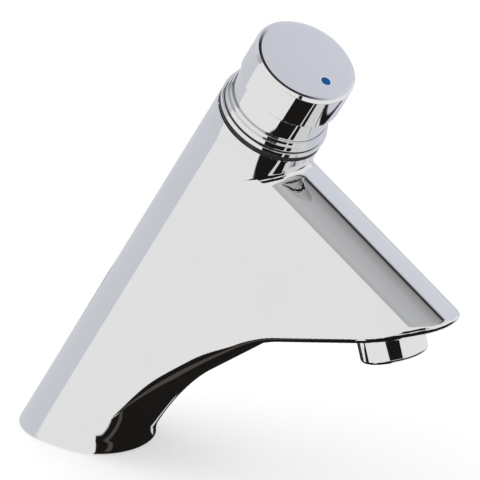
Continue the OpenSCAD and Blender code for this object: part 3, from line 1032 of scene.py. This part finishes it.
    def holes(self, x: np.ndarray, y: np.ndarray, z: np.ndarray, s: np.ndarray,
              across: np.ndarray) -> list[np.ndarray]:
        """The cartridge chamber, the inlet, the shank's socket, the gasket's groove and the aerator's socket.

        Args:
            x: places along the deck.
            y: places across.
            z: heights.
            s: places along the column.
            across: distances from the column's axis.

        Returns:
            A distance for each hole.
        """
        out_x, out_z = self.outlet()
        sn, cs = math.sin(math.radians(self.under_rise)), math.cos(math.radians(self.under_rise))
        up = -(x - out_x) * sn + (z - out_z) * cs
        aside = np.hypot((x - out_x) * cs + (z - out_z) * sn, y)
        round_foot = np.hypot(x, y)
        inner, outer, depth = self.groove
        return [
            np.maximum(across - self.chamber_r, self.chamber_s - s),
            np.maximum(across - self.room_r, np.abs(s - (self.room_s + self.chamber_s) / 2) - 10),
            np.maximum(across - self.inlet_r, np.maximum(self.socket_h - 2 - s, s - self.chamber_s)),
            np.maximum(round_foot - self.socket_r, z - self.socket_h),
            np.maximum(np.abs(round_foot - (inner + outer) / 2) - (outer - inner) / 2, z - depth),
            np.maximum(aside - self.cup_r, np.abs(up) - self.cup_depth),
        ]

    def build(self) -> None:
        """Meshes the casting and dresses it in chrome."""
        skin = Skin(self.distance, (-29.3, -21.63, -1.47), (168.0, 21.7, 156.0), self.cell)
        Piece("casting", skin.shape(), Body.TAP, CHROME, ("body",)).build()


@dataclass
class Neck:
    """The stepped collar ring and the sleeve that guides the button."""

    seat: float = 168.3
    height: float = 8.0
    column_r: float = 20.0
    shadow: float = 2.0
    recess: float = 0.9
    # outer radii of the black rings that paint the shade in the collar's groove and fine line
    shade_ring_r: float = 19.75
    shade_line_r: float = 19.1
    line: float = 0.45
    low: float = 3.6
    mid: float = 6.24
    mid_r: float = 19.19
    top_r: float = 18.56
    bore: float = 17.85
    sleeve_r: float = 17.75
    sleeve_wall: float = 1.6
    flange_r: float = 18.65
    flange_h: float = 1.2
    sleeve_s: float = 170.1
    sleeve_top: float = 188.5
    play: float = 0.1
    crisp: float = 0.05
    eased: float = 0.12
    # gap between the chrome and the black rings of painted shade
    shade_ring_gap: float = 0.01

    def collar(self) -> Turned:
        """The collar: a shadow groove and three polished bands, each a little smaller than the one below."""
        z0, crisp, eased = self.seat, self.crisp, self.eased
        flange_r, flange_top = self.flange_r + self.play, self.sleeve_s + self.flange_h + self.play
        groove_r, groove_top = self.column_r - self.recess, z0 + self.shadow
        line_r, line_low, line_top = self.mid_r - self.line, z0 + self.low, z0 + self.low + self.line
        return Turned((
            Corner(self.bore, flange_top), Corner(flange_r, flange_top, crisp),
            Corner(flange_r, z0, crisp), Corner(groove_r, z0, crisp),
            Corner(groove_r, groove_top, crisp), Corner(self.column_r, groove_top, 2 * crisp),
            Corner(self.column_r, line_low, eased), Corner(line_r, line_low, crisp),
            Corner(line_r, line_top, crisp), Corner(self.mid_r, line_top, crisp),
            Corner(self.mid_r, z0 + self.mid, eased), Corner(self.top_r, z0 + self.mid, crisp),
            Corner(self.top_r, z0 + self.height, eased), Corner(self.bore, z0 + self.height, crisp),
        ), COLUMN)

    def sleeve(self) -> Turned:
        """The sleeve: a thin tube with a flange under the collar."""
        inner, flange_top = self.sleeve_r - self.sleeve_wall, self.sleeve_s + self.flange_h
        return Turned((
            Corner(inner, self.sleeve_s), Corner(self.flange_r, self.sleeve_s),
            Corner(self.flange_r, flange_top), Corner(self.sleeve_r, flange_top, self.crisp),
            Corner(self.sleeve_r, self.sleeve_top, 0.4), Corner(inner, self.sleeve_top, 0.4),
        ), COLUMN)

    def shade_ring(self, low: float, high: float, inner: float, outer: float) -> Turned:
        """A black ring that fills a gap of the collar as painted shade.

        Args:
            low: where it starts along the column.
            high: where it ends.
            inner: its inner radius.
            outer: its outer radius.

        Returns:
            The turned ring of painted shade.
        """
        corners = (Corner(inner, low), Corner(outer, low), Corner(outer, high), Corner(inner, high))
        return Turned(corners, COLUMN)

    def build(self) -> None:
        """Builds and dresses the collar, the black rings of painted shade in its gaps, and the sleeve."""
        z0, gap = self.seat, self.shade_ring_gap
        # painted shade: black rubber rings fill the shadow groove and the fine line, where the chrome would
        # show only shade
        wide = self.shade_ring(
            z0 + 2 * gap, z0 + self.shadow - 2 * gap, self.column_r - self.recess + gap, self.shade_ring_r)
        thin = self.shade_ring(
            z0 + self.low + gap, z0 + self.low + self.line - gap, self.mid_r - self.line + gap, self.shade_line_r)
        Piece("collar_shade_ring", wide.shape(), Body.TAP, RUBBER).build()
        Piece("collar_shade_line", thin.shape(), Body.TAP, RUBBER).build()
        Piece("collar", self.collar().shape(), Body.TAP, CHROME, ("collar_ring",)).build()
        Piece("sleeve", self.sleeve().shape(), Body.TAP, CHROME, ("guide_sleeve",)).build()


@dataclass
class Button:
    """The push button with its bevelled edge, its boss and the cold-water dot."""

    rim: float = 185.5
    side: float = 13.4
    radius: float = 19.0
    bevel: float = 1.0
    shoulder: float = 1.1
    shoulder_fall: float = 4.2
    crown: float = 0.12
    roof: float = 2.4
    skirt: float = 18.1
    boss_r: float = 6.0
    boss_len: float = 5.0
    thread_r: float = 2.3
    thread_roof: float = 1.0
    dot_r: float = 1.8
    dot_offset: float = 10.3
    dot_proud: float = 0.12
    dot_depth: float = 1.0
    # width of the white ring that paints a highlight round the dot
    highlight_rim: float = 0.3

    def face(self) -> float:
        """Height of the face's edge along the column's axis."""
        return self.rim + self.side

    def cap(self) -> Turned:
        """The cap, hollow below, with the boss that the stem screws into."""
        top, ceiling = self.face(), self.face() - self.roof
        fall = self.shoulder * math.tan(math.radians(self.shoulder_fall))
        return Turned((
            Corner(0.0, ceiling - self.thread_roof), Corner(self.thread_r, ceiling - self.thread_roof),
            Corner(self.thread_r, ceiling - self.boss_len), Corner(self.boss_r, ceiling - self.boss_len, 0.3),
            Corner(self.boss_r, ceiling, 0.5), Corner(self.skirt, ceiling, 0.5),
            Corner(self.skirt, self.rim, 0.2), Corner(self.radius, self.rim, 0.3),
            Corner(self.radius, top - self.bevel - fall, 0.25),
            Corner(self.radius - self.bevel, top - fall, 0.15),
            Corner(self.radius - self.bevel - self.shoulder, top, 2.0), Corner(0.0, top + self.crown),
        ), COLUMN, closed=False, sides=192)

    def dot(self) -> Turned:
        """The dot: a low lens that stands a hair proud of the face."""
        top = self.face() + self.crown * (1 - self.dot_offset / self.radius)
        spot = COLUMN.points(np.array([[self.dot_offset, 0.0, top]]))[0]
        return Turned((
            Corner(0.0, -self.dot_depth), Corner(self.dot_r, -self.dot_depth),
            Corner(self.dot_r, 0.5 * self.dot_proud, 0.05), Corner(0.0, self.dot_proud),
        ), Place(tuple(spot), LEAN), closed=False, sides=64)

    def ring(self) -> Turned:
        """The fine pale ring that the dot is set in, a painted highlight for the dot's bright rim."""
        top = self.face() + self.crown * (1 - self.dot_offset / self.radius)
        spot = COLUMN.points(np.array([[self.dot_offset, 0.0, top]]))[0]
        return Turned((
            Corner(self.dot_r + 0.01, -0.3), Corner(self.dot_r + self.highlight_rim, -0.3),
            Corner(self.dot_r + self.highlight_rim, 0.1, 0.04), Corner(self.dot_r + 0.01, 0.1, 0.04),
        ), Place(tuple(spot), LEAN), sides=64)

    def build(self) -> None:
        """Builds and dresses the cap, the dot and its ring of painted highlight."""
        Piece("button_cap", self.cap().shape(), Body.PLUNGER, CHROME, ("push_button",)).build()
        Piece("cold_dot", self.dot().shape(), Body.PLUNGER, BLUE_INLAY, ("indicator_dot",)).build()
        # painted highlight: a white ring round the dot stands for its bright rim
        Piece("dot_highlight_ring", self.ring().shape(), Body.PLUNGER, WHITE_ACETAL).build()


@dataclass
class Aerator:
    """The aerator's cup at the spout's end."""

    radius: float = 12.0
    drop: float = 10.0
    spot: float = 0.6
    spigot: float = 8.0
    thread_r: float = 11.0
    bore: float = 9.4
    lip: float = 1.5
    ledge: float = 1.2
    edge: float = 1.3

    def cup(self, place: Place) -> Turned:
        """The cup, with a rounded lower rim and a ledge for the screen.

        Args:
            place: the aerator's frame.

        Returns:
            The turned cup.
        """
        mouth = self.bore - self.ledge
        return Turned((
            Corner(mouth, -self.drop, 0.4), Corner(self.radius, -self.drop, self.edge),
            Corner(self.radius, self.spot, 0.2), Corner(self.thread_r, self.spot, 0.1),
            Corner(self.thread_r, self.spigot, 0.4), Corner(self.bore, self.spigot, 0.2),
            Corner(self.bore, -self.drop + self.lip, 0.1), Corner(mouth, -self.drop + self.lip, 0.1),
        ), place)

    def build(self, casting: Casting) -> None:
        """Builds and dresses the cup.

        Args:
            casting: the casting that the cup screws into.
        """
        x, z = casting.outlet()
        place = Place((x, 0.0, z), -casting.under_rise)
        Piece("aerator_cup", self.cup(place).shape(), Body.TAP, CHROME, ("aerator_housing",)).build()


@dataclass
class Cartridge:
    """The self-closing cartridge inside the column; all but the spring keeps its solid."""

    wire: float = 0.8
    coil_r: float = 9.0
    spring_low: float = 118.9
    spring_high: float = 139.4
    turns: float = 6.0
    ring_sides: int = 14
    per_turn: int = 40
    finishes: dict[Finish, tuple[str, ...]] = field(default_factory=lambda: {
        BRASS_LEANING: ("stem_lock_nut", "cartridge_head", "valve_seat", "disc_holder", "disc_nut"),
        STEEL_LEANING: ("stem", "metering_screw"),
        RUBBER: (
            "head_gasket", "stem_o_ring", "cartridge_o_rings", "piston_lip_seal", "seat_gasket", "valve_disc"),
        WHITE_ACETAL: ("timing_piston", "stem_guide"),
        GREY_ACETAL: ("cartridge_housing",),
    })

    def spring(self) -> Shape:
        """The return spring: round wire wound with flat end turns.

        Returns:
            The spring's shape.
        """
        count = int(self.turns * self.per_turn)
        u = np.linspace(0, 1, count + 1)
        angle = 2 * math.pi * self.turns * u
        rise = self.spring_low + (self.spring_high - self.spring_low) * u
        ring = np.arange(self.ring_sides) * (2 * math.pi / self.ring_sides)
        reach = self.coil_r + self.wire * np.cos(ring)[None, :]
        points = np.stack([reach * np.cos(angle)[:, None], reach * np.sin(angle)[:, None],
                           rise[:, None] + self.wire * np.sin(ring)[None, :]], 2).reshape(-1, 3)
        out = np.cos(ring)[None, :] * np.ones_like(angle)[:, None]
        normals = np.stack([out * np.cos(angle)[:, None], out * np.sin(angle)[:, None],
                            np.sin(ring)[None, :] * np.ones_like(angle)[:, None]], 2).reshape(-1, 3)
        n = self.ring_sides
        faces: list[tuple[int, ...]] = []
        for i in range(count):
            for k in range(n):
                m = (k + 1) % n
                faces.append((i * n + k, (i + 1) * n + k, (i + 1) * n + m, i * n + m))
        faces.append(tuple(range(n)))
        faces.append(tuple(count * n + k for k in range(n - 1, -1, -1)))
        return Shape(COLUMN.points(points), faces, COLUMN.turn(normals))

    def build(self) -> None:
        """Builds the spring and dresses the cartridge's solids."""
        spring = Piece("spring_coil", self.spring(), Body.TAP, STEEL_LEANING, ("return_spring",)).build()
        foot = COLUMN.points(np.array([[0.0, 0.0, self.spring_low - self.wire]]))[0] * MM
        travel = 7.0
        keep = 1.0 - travel / (self.spring_high - self.spring_low + 2 * self.wire)
        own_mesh(spring)
        dress(self.finishes)


def dress(finishes: dict[Finish, tuple[str, ...]]) -> None:
    """Gives CAD nodes that stay as they are their finish.

    Args:
        finishes: the nodes of each finish.
    """
    for finish, nodes in finishes.items():
        for name in nodes:
            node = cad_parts[name]
            node.data.materials.clear()
            node.data.materials.append(finish.material())
            LOG.info("%s: dressed in %s", name, finish.name)


@dataclass
class Inlet:
    """The threaded shank through the deck, with its gaskets, washers and back nut."""

    shank_r: float = 10.4775
    shank_low: float = -48.0
    shank_top: float = 12.0
    bore: float = 6.5
    pitch: float = 1.814
    thread_depth: float = 1.1
    relief: tuple[float, float] = (-31.0, -30.0)
    relief_depth: float = 0.2
    crest_slope: float = 2.6
    crest_flat: float = 0.15
    runout: tuple[float, float] = (6.0, 8.0)
    nut_low: float = -22.0
    nut_high: float = -13.0
    nut_af: float = 30.0
    nut_bore: float = 10.58
    nut_chamfer: float = 0.6
    washer: tuple[float, float] = (-13.0, -11.0)
    washer_r: float = 17.0
    fibre: tuple[float, float] = (-11.0, -8.0)
    fibre_r: float = 18.0
    finishes: dict[Finish, tuple[str, ...]] = field(default_factory=lambda: {
        RUBBER: ("shank_o_ring", "base_gasket", "aerator_gasket"),
        WHITE_ACETAL: ("flow_limiter", "aerator_insert"),
        GREY_ACETAL: ("aerator_screen",),
        STEEL: ("inlet_strainer",),
    })

    def thread(self, angle: np.ndarray, height: np.ndarray) -> np.ndarray:
        """Radius of the shank's thread.

        Args:
            angle: angles about the axis.
            height: heights along it.

        Returns:
            The radius at each place.
        """
        phase = (height / self.pitch - angle / (2 * math.pi)) % 1.0
        crest = np.clip(self.crest_slope * np.abs(phase - 0.5) - self.crest_flat, 0, 1)
        ends = smooth(height, self.shank_low, self.shank_low + self.pitch) * (1 - smooth(height, *self.runout))
        radius = self.shank_r - self.thread_depth * crest * ends
        low, high = self.relief
        root = self.shank_r - self.thread_depth - self.relief_depth
        return np.where((height > low) & (height < high), root, radius)

    def hexagon(self, angle: np.ndarray, height: np.ndarray) -> np.ndarray:
        """Radius of the back nut: a hexagon with its corners chamfered at both ends.

        Args:
            angle: angles about the axis.
            height: heights along it.

        Returns:
            The radius at each place.
        """
        third = math.pi / 3
        flat = self.nut_af / 2 / np.cos((angle + third / 2) % third - third / 2)
        end = np.minimum(height - self.nut_low, self.nut_high - height)
        cone = self.nut_af / 2 - self.nut_chamfer + end * math.sqrt(3.0)
        return np.minimum(flat, cone)

    def build(self) -> None:
        """Builds the shank, nut and washers and dresses the rest."""
        heights = np.arange(self.shank_low, self.shank_top + 0.15, 0.3)
        shank = Wrapped(heights, self.thread, self.bore, sides=96).shape()
        Piece("threaded_shank", shank, Body.TAP, BRASS, ("inlet_shank",)).build()
        steps = np.concatenate([self.nut_low + np.linspace(0, 2, 9), self.nut_high - np.linspace(2, 0, 9)])
        nut = Wrapped(steps, self.hexagon, self.nut_bore, sides=144).shape()
        Piece("hex_back_nut", nut, Body.TAP, BRASS, ("back_nut",)).build()
        for name, span, outer, finish, node in (
                ("steel_washer", self.washer, self.washer_r, STEEL, "clamp_washer"),
                ("fibre_washer", self.fibre, self.fibre_r, RUBBER, "deck_washer")):
            ring = Turned((
                Corner(self.nut_bore, span[0], 0.3), Corner(outer, span[0], 0.4),
                Corner(outer, span[1], 0.4), Corner(self.nut_bore, span[1], 0.3)))
            Piece(name, ring.shape(), Body.TAP, finish, (node,)).build()
        dress(self.finishes)


# Studio


@dataclass
class Studio:
    """White floor and world, a soft lamp and the long-lens camera; the metal sees panels, and on the deck a
    painted pattern of reflections and shadow.
    """

    azimuth: float = 40.1
    elevation: float = 24.1
    target: tuple[float, float, float] = (0.0704, 0.0, 0.0929)
    distance: float = 5.0
    frame_width: float = 0.16783
    sensor: float = 36.0
    floor_size: float = 12.0
    light: Colour = (0.93, 0.93, 0.93)
    cool: Colour = (0.68, 0.70, 0.745)
    backdrop: Colour = (0.745, 0.772, 0.84)
    dark: Colour = (0.012, 0.011, 0.01)
    warm: Colour = (0.085, 0.07, 0.06)
    deck_glow: float = 0.42
    deck_tone: float = 0.6
    lamp_power: float = 5.0
    lamp_size: float = 1.6
    lamp_place: tuple[float, float, float] = (-0.5, -0.7, 1.7)
    lamp_aim: tuple[float, float, float] = (0.05, 0.0, 0.05)
    # edges of the tap's painted shadow on the deck below the arch, in millimetres
    arch_shadow_front: Sequence[tuple[float, float]] = (
        (0, -104), (11, -101), (34, -87), (50, -86), (95, -98), (97, -60))
    arch_shadow_side: Sequence[tuple[float, float]] = (
        (0, 30), (14, 30), (17, 29), (21, 27.8), (26, 27), (32, 26), (40, 23.5), (47, 20), (55.5, 14.5),
        (62, 11), (66, 10.5), (77, 11), (90, 6), (100, 2), (104, 4), (110, 40))
    foot_shadow_line: Sequence[tuple[float, float]] = (
        (0, -24), (16, -20.8), (17.6, -19.7), (18.7, -19.1), (19.8, -18.3), (20.3, -17.95), (21.2, -17.25),
        (22.5, -16.75), (26, -15.5), (29.4, -14.2))
    # back edge of the painted dark patches that the metal sees, in millimetres
    dark_patch_back: Sequence[tuple[float, float]] = (
        (0, 120), (95, 120), (105, 50), (131, 18), (150, 0), (165, -18))
    dark_patch_soft: float = 0.001
    outlet_x: float = 0.165
    neck_x: float = 0.12
    neck_front: float = -0.111
    neck_slopes: tuple[float, float] = (1.23, 0.61)
    outlet_slope: float = 1.9
    back_slope: float = 0.22
    middle: tuple[float, float, float] = (0.15, 0.0, 0.0)
    seam: tuple[float, float] = (0.848, 0.53)
    ceiling: Sequence[tuple[float, Colour]] = (
        (0.0, (0.93, 0.93, 0.93)), (0.352, (0.93, 0.93, 0.93)), (0.362, (0.5, 0.5, 0.51)),
        (0.42, (0.57, 0.57, 0.58)), (0.56, (0.5, 0.5, 0.51)), (0.66, (0.36, 0.36, 0.37)),
        (0.69, (0.3, 0.29, 0.29)), (0.702, (0.04, 0.035, 0.03)), (0.724, (0.04, 0.035, 0.03)),
        (0.742, (0.66, 0.68, 0.74)), (0.76, (0.745, 0.772, 0.84)))

    def camera(self) -> None:
        """Sets the camera at the photograph's angle."""
        a, e = math.radians(self.azimuth), math.radians(self.elevation)
        back = Vector((math.sin(a) * math.cos(e), -math.cos(a) * math.cos(e), math.sin(e)))
        data = bpy.data.cameras.new("long_lens")
        data.sensor_width = self.sensor
        data.lens = self.sensor * self.distance / self.frame_width
        data.clip_end = 100.0
        made = bpy.data.objects.new("long_lens", data)
        made.location = Vector(self.target) + back * self.distance
        made.rotation_mode = "QUATERNION"
        made.rotation_quaternion = (-back).to_track_quat("-Z", "Y")
        bpy.context.scene.collection.objects.link(made)
        bpy.context.scene.camera = made

    def lamp(self) -> None:
        """Adds one broad soft lamp that lights the deck and leaves the metal's reflections alone."""
        data = bpy.data.lights.new("soft_lamp", "AREA")
        data.shape = "DISK"
        data.size = self.lamp_size
        data.energy = self.lamp_power
        made = bpy.data.objects.new("soft_lamp", data)
        made.location = self.lamp_place
        made.rotation_mode = "QUATERNION"
        made.rotation_quaternion = (Vector(self.lamp_aim) - made.location).to_track_quat("-Z", "Y")
        made.visible_glossy = False
        bpy.context.scene.collection.objects.link(made)

    def world(self) -> None:
        """White for the camera; panels, ceiling and backdrop for the metal."""
        world = bpy.data.worlds.new("studio")
        world.use_nodes = True
        bpy.context.scene.world = world
        graph = Graph(world.node_tree)
        x, y, z = graph.split(graph.wire("ShaderNodeTexCoord", {}, {}, "Generated"))
        turn = graph.wire("ShaderNodeMath", {"operation": "ARCTAN2"}, {0: z, 1: -1.0 * y}) / math.pi
        panels = graph.wire("ShaderNodeValToRGB", {"stops": self.ceiling}, {"Fac": turn})
        sides = graph.mix(graph.ease(x, -0.45, -0.6), panels, self.backdrop)
        ahead = graph.least(graph.ease(x, 0.55, 0.65), graph.ease(z, 0.35, 0.25))
        sides = graph.mix(ahead, sides, self.light)
        screen = graph.least(graph.ease(x + 0.51 * y, -0.01, 0.01), graph.ease(x + 2.6 * y, 0.03, -0.03))
        screen = graph.least(screen, graph.ease(z, 0.37, 0.34))
        glossy = graph.wire("ShaderNodeLightPath", {}, {}, "Is Glossy Ray")
        shown = graph.mix(glossy, (1.0, 1.0, 1.0), graph.mix(screen, sides, self.dark))
        sky = graph.wire("ShaderNodeBackground", {}, {"Color": shown, "Strength": 1.0})
        graph.finish("ShaderNodeOutputWorld", sky)

    def floor(self) -> None:
        """A pale deck that keeps the tap's shadow; only the metal sees the pattern that glows on it, light,
        cool and dark: painted reflections and painted shadow.
        """
        half = self.floor_size / 2
        mesh = bpy.data.meshes.new("deck")
        corners = [(-half, -half, 0), (half, -half, 0), (half, half, 0), (-half, half, 0)]
        mesh.from_pydata(corners, [], [(0, 1, 2, 3)])
        made = bpy.data.objects.new("deck", mesh)
        made.location = (0.0, 0.0, -0.0002)
        bpy.context.scene.collection.objects.link(made)
        material = bpy.data.materials.new("pale_deck")
        material.use_nodes = True
        mesh.materials.append(material)
        graph = Graph(material.node_tree)
        place = graph.wire("ShaderNodeNewGeometry", {}, {}, "Position")
        path = graph.node("ShaderNodeLightPath", {}, {})
        seen, glossy = Wire(graph, path.outputs["Is Camera Ray"]), Wire(graph, path.outputs["Is Glossy Ray"])
        grain = graph.noise(place, 40.0, 3.0)
        tone = graph.mix(0.3 * grain, (self.deck_tone,) * 3, (0.97 * self.deck_tone,) * 3)
        matt = graph.wire("ShaderNodeBsdfDiffuse", {}, {"Color": tone})
        lift = graph.mix(seen, (0.0, 0.0, 0.0), (self.deck_glow,) * 3)
        glow = graph.wire("ShaderNodeEmission", {}, {"Color": lift, "Strength": 1.0})
        plain = graph.wire("ShaderNodeAddShader", {}, {0: matt, 1: glow})
        # painted reflections: glossy rays see the deck glow with a painted pattern, not its lit colour
        mirror = graph.wire("ShaderNodeEmission", {}, {"Color": self.painted_reflections(graph, place), "Strength": 1.0})
        above = graph.wire("ShaderNodeMixShader", {}, {0: glossy, 1: plain, 2: mirror})
        below = graph.wire("ShaderNodeNewGeometry", {}, {}, "Backfacing")
        clear = graph.wire("ShaderNodeBsdfTransparent", {}, {})
        both = graph.wire("ShaderNodeMixShader", {}, {0: below, 1: above, 2: clear})
        graph.finish("ShaderNodeOutputMaterial", both)

    def painted_reflections(self, graph: Graph, place: Wire) -> Wire:
        """What the metal sees on the deck: painted reflections, with the tap's painted shadow below the arch.

        Args:
            graph: the deck's graph.
            place: points of the deck in metres.

        Returns:
            The colour.
        """
        x, y, _ = graph.split(place)
        slant = self.seam[0] * x + self.seam[1] * y
        rise = y - self.edge(graph, x, self.foot_shadow_line)
        dark_patch = graph.most(self.arch_shadow(graph, x, y, rise), self.beside(graph, place, x, y))
        back = self.edge(graph, x, self.dark_patch_back) - self.back_slope * graph.most(x - self.outlet_x, 0.0)
        dark_patch = graph.least(dark_patch, graph.ease(back - y, -self.dark_patch_soft, self.dark_patch_soft))
        nose = graph.band(x, (0.172, 0.176), (0.31, 0.33))
        nose = graph.least(nose, graph.band(y, (-0.085, -0.075), (0.18, 0.2)))
        line = graph.band(slant, (0.159, 0.161), (0.165, 0.167))
        line = graph.least(line, graph.ease(y, 0.02, 0.03))
        shade = graph.mix(self.strip(graph, x, y, rise), self.dark, self.warm)
        dark_patch = graph.most(graph.most(dark_patch, nose), line)
        return graph.mix(dark_patch, self.ground(graph, x, y, slant), shade)

    def ground(self, graph: Graph, x: Wire, y: Wire, slant: Wire) -> Wire:
        """The light and the cool part of the deck, as painted reflections that only the metal sees.

        Args:
            graph: the deck's graph.
            x: places along the deck in metres.
            y: places across it in metres.
            slant: places along the seam's normal.

        Returns:
            The colour.
        """
        left = graph.ease(y - graph.most(0.68 * x - 0.0144, -0.29), -0.002, 0.002)
        right = graph.least(graph.ease(slant, 0.164, 0.167), graph.ease(y, 0.015, 0.025))
        right = graph.least(right, graph.ease(x, 0.2, 0.18))
        open_back = graph.least(graph.ease(x, 0.08, 0.1), graph.ease(y, 0.2, 0.22))
        cool = graph.least(graph.most(left, right), 1.0 - open_back)
        return graph.mix(cool, self.light, self.cool)

    def arch_shadow(self, graph: Graph, x: Wire, y: Wire, rise: Wire) -> Wire:
        """Painted shadow of the tap on the deck below the arch, which only the metal sees, with a painted
        light gap along the arch's far rim.

        Args:
            graph: the deck's graph.
            x: places along the deck in metres.
            y: places across it in metres.
            rise: distance across from the foot's line.

        Returns:
            The card's share.
        """
        # painted shadow: dark by the foot and under the arch, where the tap's own shade falls; rim is a
        # painted light gap
        foot = graph.ease(rise, -0.0004, 0.0004)
        foot = graph.least(foot, graph.ease(x + 1.15 * y, -0.0031, -0.0021))
        side = graph.ease(x - self.edge(graph, -1.0 * y, self.arch_shadow_side), -0.0008, 0.0008)
        front = y - self.edge(graph, x, self.arch_shadow_front)
        dark_patch = graph.most(foot, graph.least(side, graph.ease(front, -self.dark_patch_soft, self.dark_patch_soft)))
        rim = graph.band(x + 0.17 * y, (0.025, 0.0256), (0.0268, 0.0276))
        rim = graph.least(rim, graph.band(y, (0.010, 0.011), (0.030, 0.033)))
        return graph.least(dark_patch, 1.0 - rim)

    def beside(self, graph: Graph, place: Wire, x: Wire, y: Wire) -> Wire:
        """The dark patch on the deck in front of the outlet, a painted reflection that only the metal sees,
        which the neck and the aerator mirror.

        Args:
            graph: the deck's graph.
            place: points of the deck in metres.
            x: places along the deck in metres.
            y: places across it in metres.

        Returns:
            The card's share.
        """
        # painted reflection: a dark patch that only glossy rays see
        near, far = self.neck_slopes
        along = x - self.neck_x
        front = near * graph.least(along, 0.0)
        front = front - far * graph.least(graph.most(along, 0.0), self.outlet_x - self.neck_x)
        front = front + self.neck_front - self.outlet_slope * graph.most(x - self.outlet_x, 0.0)
        dark_patch = graph.ease(y - front, -self.dark_patch_soft, self.dark_patch_soft)
        dark_patch = graph.least(dark_patch, graph.ease(x - 0.222 * y, 0.1334, 0.1354))
        settings = {"operation": "DISTANCE"}
        away = graph.wire("ShaderNodeVectorMath", settings, {0: place, 1: self.middle}, "Value")
        return graph.least(dark_patch, graph.most(graph.ease(away, 0.27, 0.25), graph.ease(away, 0.55, 0.6)))

    def strip(self, graph: Graph, x: Wire, y: Wire, rise: Wire) -> Wire:
        """The warm strip on the dark patch, along the arch's near edge and down to the foot, a painted
        reflection that only the metal sees.

        Args:
            graph: the deck's graph.
            x: places along the deck in metres.
            y: places across it in metres.
            rise: distance across from the foot's line.

        Returns:
            The strip's share.
        """
        # painted reflection: a warm strip that only glossy rays see
        warm = graph.band(y + 1.35 * x, (0.006, 0.012), (0.042, 0.05))
        warm = graph.least(warm, graph.least(graph.ease(y, -0.018, -0.022), graph.ease(x, 0.08, 0.07)))
        low = graph.band(rise - 0.12 * (x - 0.024), (0.0018, 0.0022), (0.0030, 0.0034))
        low = graph.least(low, graph.band(x, (0.0206, 0.0216), (0.030, 0.032)))
        return graph.most(warm, low)

    def edge(self, graph: Graph, x: Wire, stops: Sequence[tuple[float, float]]) -> Wire:
        """An edge of the dark card, as its place across for each place along the deck.

        Args:
            graph: the deck's graph.
            x: places along the deck in metres.
            stops: pairs of places along and across in millimetres.

        Returns:
            The place across in metres.
        """
        span = 200.0
        levels = [(along / span, ((across + span) / (2 * span),) * 3) for along, across in stops]
        ramp = graph.wire("ShaderNodeValToRGB", {"stops": levels}, {"Fac": x / (span * MM)})
        level = graph.wire("ShaderNodeSeparateColor", {}, {0: ramp})
        return 2 * span * MM * level - span * MM

    def build(self) -> None:
        """Builds the camera, the lamp, the world and the deck."""
        bpy.context.scene.view_settings.view_transform = "Standard"
        self.camera()
        self.lamp()
        self.world()
        self.floor()


def main() -> None:
    """Builds the studio and the tap's sub-assemblies in order."""
    logging.basicConfig(level=logging.INFO, format="%(name)s %(message)s")
    Studio().build()
    casting = Casting()
    casting.build()
    Neck().build()
    Button().build()
    Aerator().build(casting)
    Cartridge().build()
    Inlet().build()


if __name__ == "__main__":
    main()
